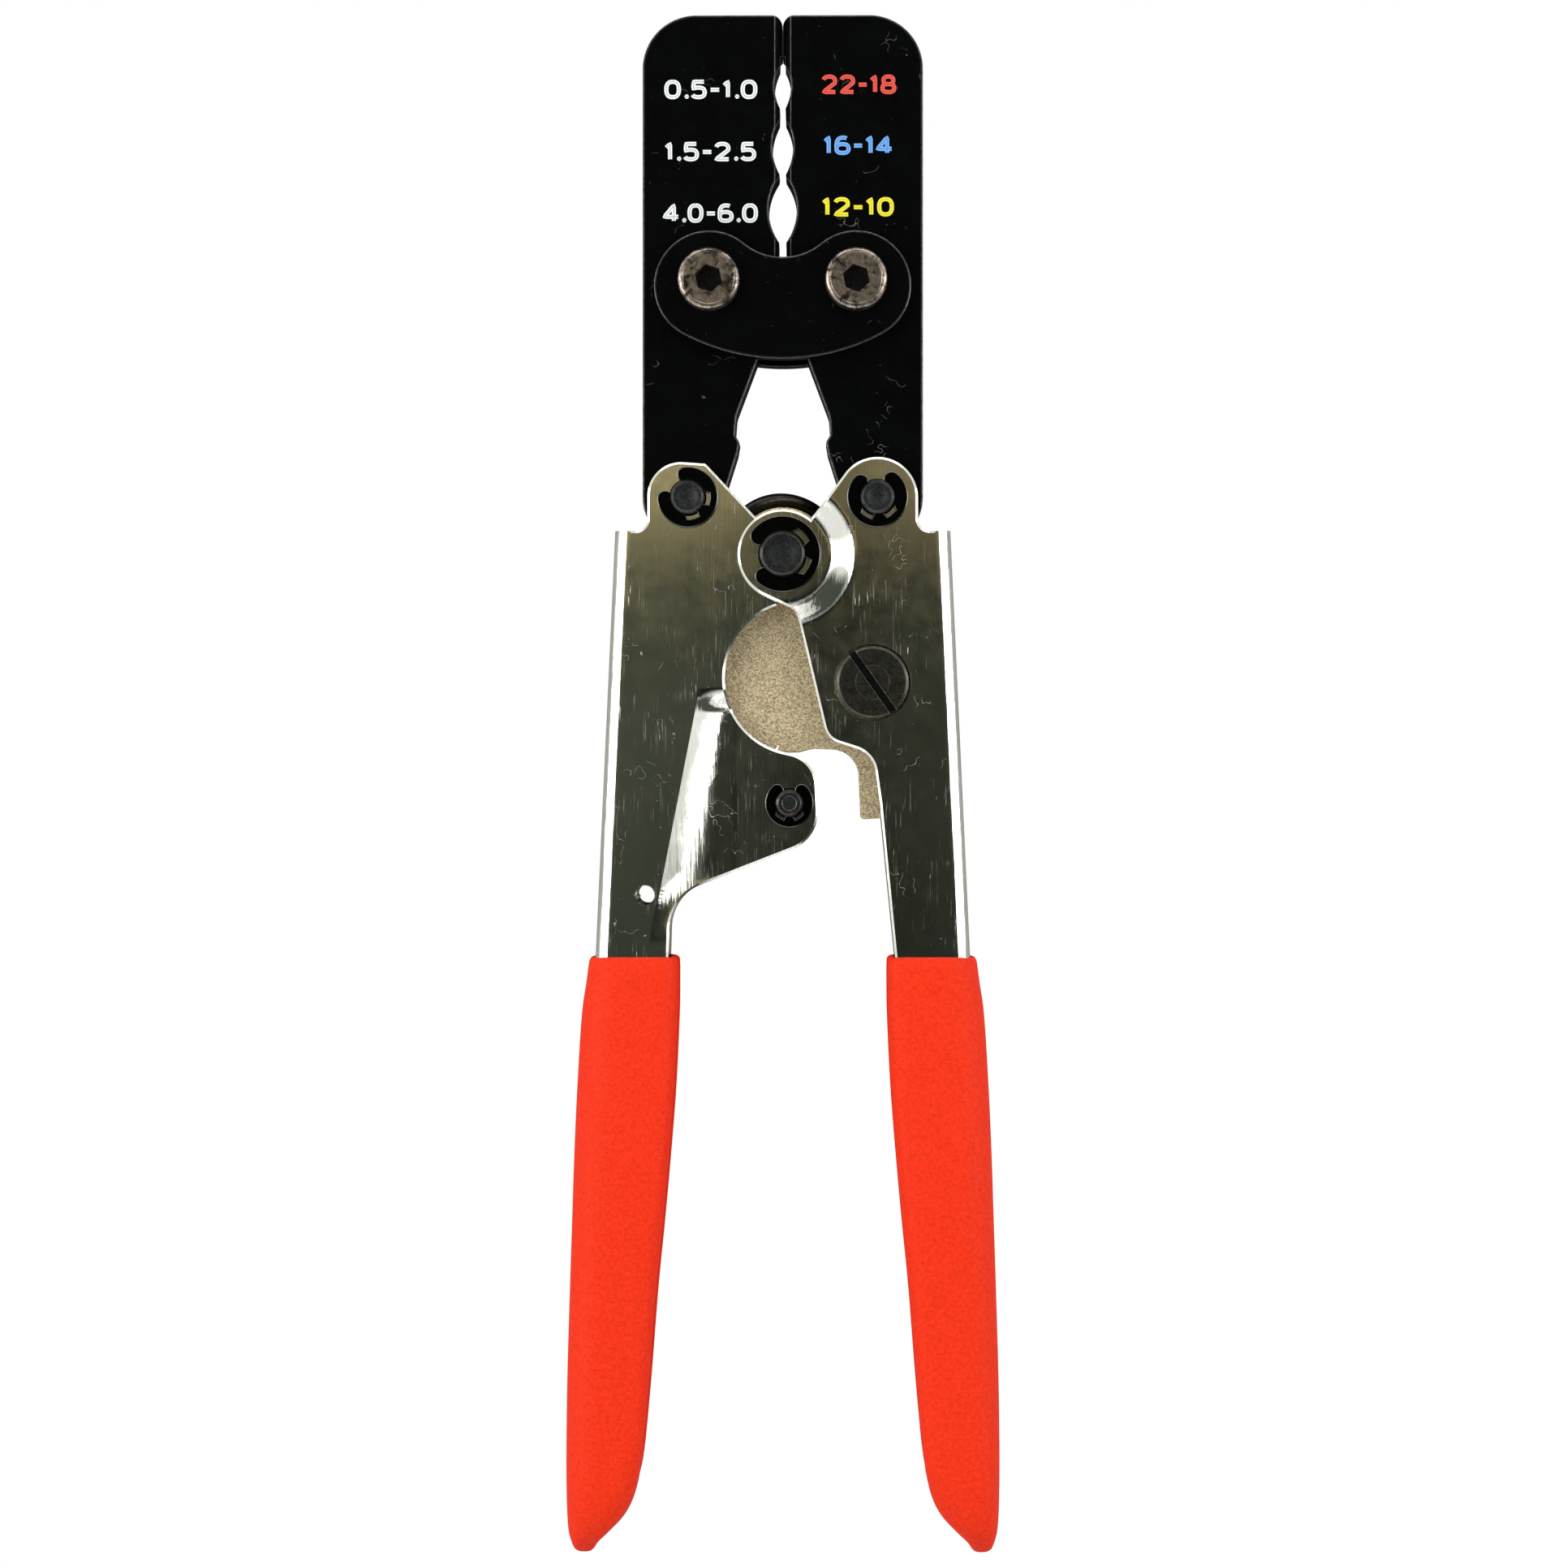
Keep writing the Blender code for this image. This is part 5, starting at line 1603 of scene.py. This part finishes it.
def studio_world():
    """A room that is dark overhead, warmer beyond the jaws and pale all round.

    The plated handles face straight up, so they mirror the overhead part.
    """
    world = bpy.data.worlds.new("studio")
    world.use_nodes = True
    tree = world.node_tree

    def ramp(source, stops):
        node = tree.nodes.new("ShaderNodeValToRGB")
        elements = node.color_ramp.elements
        for position, colour in stops[1:-1]:
            elements.new(position).color = (*colour, 1)
        for element, (position, colour) in zip((elements[0], elements[-1]), (stops[0], stops[-1])):
            element.position = position
            element.color = (*colour, 1)
        tree.links.new(source, node.inputs["Fac"])
        return node.outputs["Color"]

    place = tree.nodes.new("ShaderNodeTexCoord")
    split = tree.nodes.new("ShaderNodeSeparateXYZ")
    tree.links.new(place.outputs["Generated"], split.inputs["Vector"])
    reach = 0.09 / settings().view_distance

    def spread(source):
        node = tree.nodes.new("ShaderNodeMapRange")
        node.inputs["From Min"].default_value = -reach
        node.inputs["From Max"].default_value = reach
        tree.links.new(source, node.inputs["Value"])
        return node.outputs["Result"]

    def joined(blend_type, share, first, second):
        node = tree.nodes.new("ShaderNodeMix")
        node.data_type = "RGBA"
        node.blend_type = blend_type
        for key, value in ((0, share), (6, first), (7, second)):
            if isinstance(value, bpy.types.NodeSocket):
                tree.links.new(value, node.inputs[key])
            else:
                node.inputs[key].default_value = value
        return node.outputs[2]

    lengthways = ramp(
        spread(split.outputs["Y"]),
        (
            (0.0, (0.026, 0.028, 0.022)),
            (0.3, (0.045, 0.05, 0.04)),
            (0.5, (0.068, 0.076, 0.056)),
            (0.69, (0.075, 0.08, 0.062)),
            (0.73, (0.12, 0.115, 0.075)),
            (0.78, (0.66, 0.55, 0.28)),
            (0.88, (0.5, 0.42, 0.24)),
            (1.0, (0.05, 0.045, 0.035)),
        ),
    )
    greys = ((0.3, 1), (0.42, 0.75), (0.47, 0.22), (0.5, 0.25), (0.6, 0.52), (0.8, 0.55))
    crossways = ramp(spread(split.outputs["X"]), [(at, (grey,) * 3) for at, grey in greys])
    overhead = joined("MULTIPLY", 1.0, lengthways, crossways)
    around = ramp(split.outputs["Z"], ((0.72, (0, 0, 0)), (0.95, (1, 1, 1))))
    # A darker patch low at the front right gives the drawn shapes their shaded side.
    towards = tree.nodes.new("ShaderNodeVectorMath")
    towards.operation = "DOT_PRODUCT"
    towards.inputs[1].default_value = (0.6, -0.6, 0.53)
    tree.links.new(place.outputs["Generated"], towards.inputs[0])
    sides = ramp(towards.outputs["Value"], ((0.87, (1, 1, 1)), (0.94, (0.08, 0.09, 0.08))))
    room = joined("MIX", around, sides, overhead)
    tree.links.new(room, tree.nodes["Background"].inputs["Color"])
    bpy.context.scene.world = world


class CRIMPER_OT_stage(bpy.types.Operator):
    """Adds the floor, the soft lights and the camera"""

    bl_idname = "crimper.stage"
    bl_label = "Add stage"

    def execute(self, context):
        self.add_floor()
        studio_world()
        centre = (0, 0, MID)
        soft_light("left_softbox", (-0.75, 0.1, 0.55), centre, (0.4, 1.2), 4.2)
        soft_light("right_softbox", (0.75, 0.1, 0.5), centre, (0.35, 1.2), 3.8)
        soft_light("tip_softbox", (0.0, 0.85, 0.6), centre, (1.2, 0.35), 1.6)
        soft_light("foot_softbox", (0.0, -0.9, 0.6), centre, (1.2, 0.3), 1.0)
        self.add_camera()
        context.scene.view_settings.view_transform = "Standard"
        return {"FINISHED"}

    def add_floor(self):
        """A pale table that looks evenly white from above and grey where the metal mirrors it."""
        shape = bmesh.new()
        bmesh.ops.create_grid(shape, x_segments=1, y_segments=1, size=6)
        bmesh.ops.translate(shape, vec=(0, 0, -0.0004), verts=shape.verts)
        n = Nodes("floor")
        n.set("Base Color", (0.4, 0.4, 0.4))
        n.set("Roughness", 0.9)
        glow = n.add("ShaderNodeEmission")
        seen = n.add("ShaderNodeLightPath")
        mix = n.add("ShaderNodeMixShader")
        n.link(seen.outputs["Is Camera Ray"], mix.inputs["Fac"])
        n.link(n.shader.outputs["BSDF"], mix.inputs[1])
        n.link(glow.outputs["Emission"], mix.inputs[2])
        n.link(mix.outputs["Shader"], n.tree.nodes["Material Output"].inputs["Surface"])
        add_piece("floor", shape, n.material, place=False)

    def add_camera(self):
        distance = settings().view_distance
        data = bpy.data.cameras.new("camera")
        data.sensor_width = 36
        data.lens = 36 * distance / settings().view_width
        data.clip_start = 0.01
        obj = linked("camera", data)
        target = Vector((0.15 * MM, 0.0, MID + FLANGE_OUT))
        offset = Vector((6.0 * MM, -1.5 * MM, distance))
        obj.location = target + offset
        obj.rotation_euler = (-atan(offset.y / distance), atan(offset.x / distance), 0)
        bpy.context.scene.camera = obj


class CRIMPER_PT_panel(bpy.types.Panel):
    """Lists the tool's pieces"""

    bl_label = "Crimping tool"
    bl_idname = "CRIMPER_PT_panel"
    bl_space_type = "VIEW_3D"
    bl_region_type = "UI"
    bl_category = "Crimper"

    def draw(self, context):
        own = context.scene.crimper
        for key in own.__annotations__:
            self.layout.prop(own, key)
        for operator in OPERATORS:
            self.layout.operator(operator.bl_idname)


OPERATORS = (
    CRIMPER_OT_jaws,
    CRIMPER_OT_links,
    CRIMPER_OT_ratchet,
    CRIMPER_OT_fittings,
    CRIMPER_OT_handles,
    CRIMPER_OT_grips,
    CRIMPER_OT_screws,
    CRIMPER_OT_pins,
    CRIMPER_OT_adjuster,
    CRIMPER_OT_springs,
    CRIMPER_OT_sizes,
    CRIMPER_OT_stage,
)
CLASSES = (CrimperSettings, *OPERATORS, CRIMPER_PT_panel)


def register():
    for cls in CLASSES:
        bpy.utils.register_class(cls)
    bpy.types.Scene.crimper = PointerProperty(type=CrimperSettings)


def unregister():
    del bpy.types.Scene.crimper
    for cls in reversed(CLASSES):
        bpy.utils.unregister_class(cls)


def main():
    register()
    for operator in OPERATORS:
        area, action = operator.bl_idname.split(".")
        getattr(getattr(bpy.ops, area), action)()


if __name__ == "__main__":
    main()
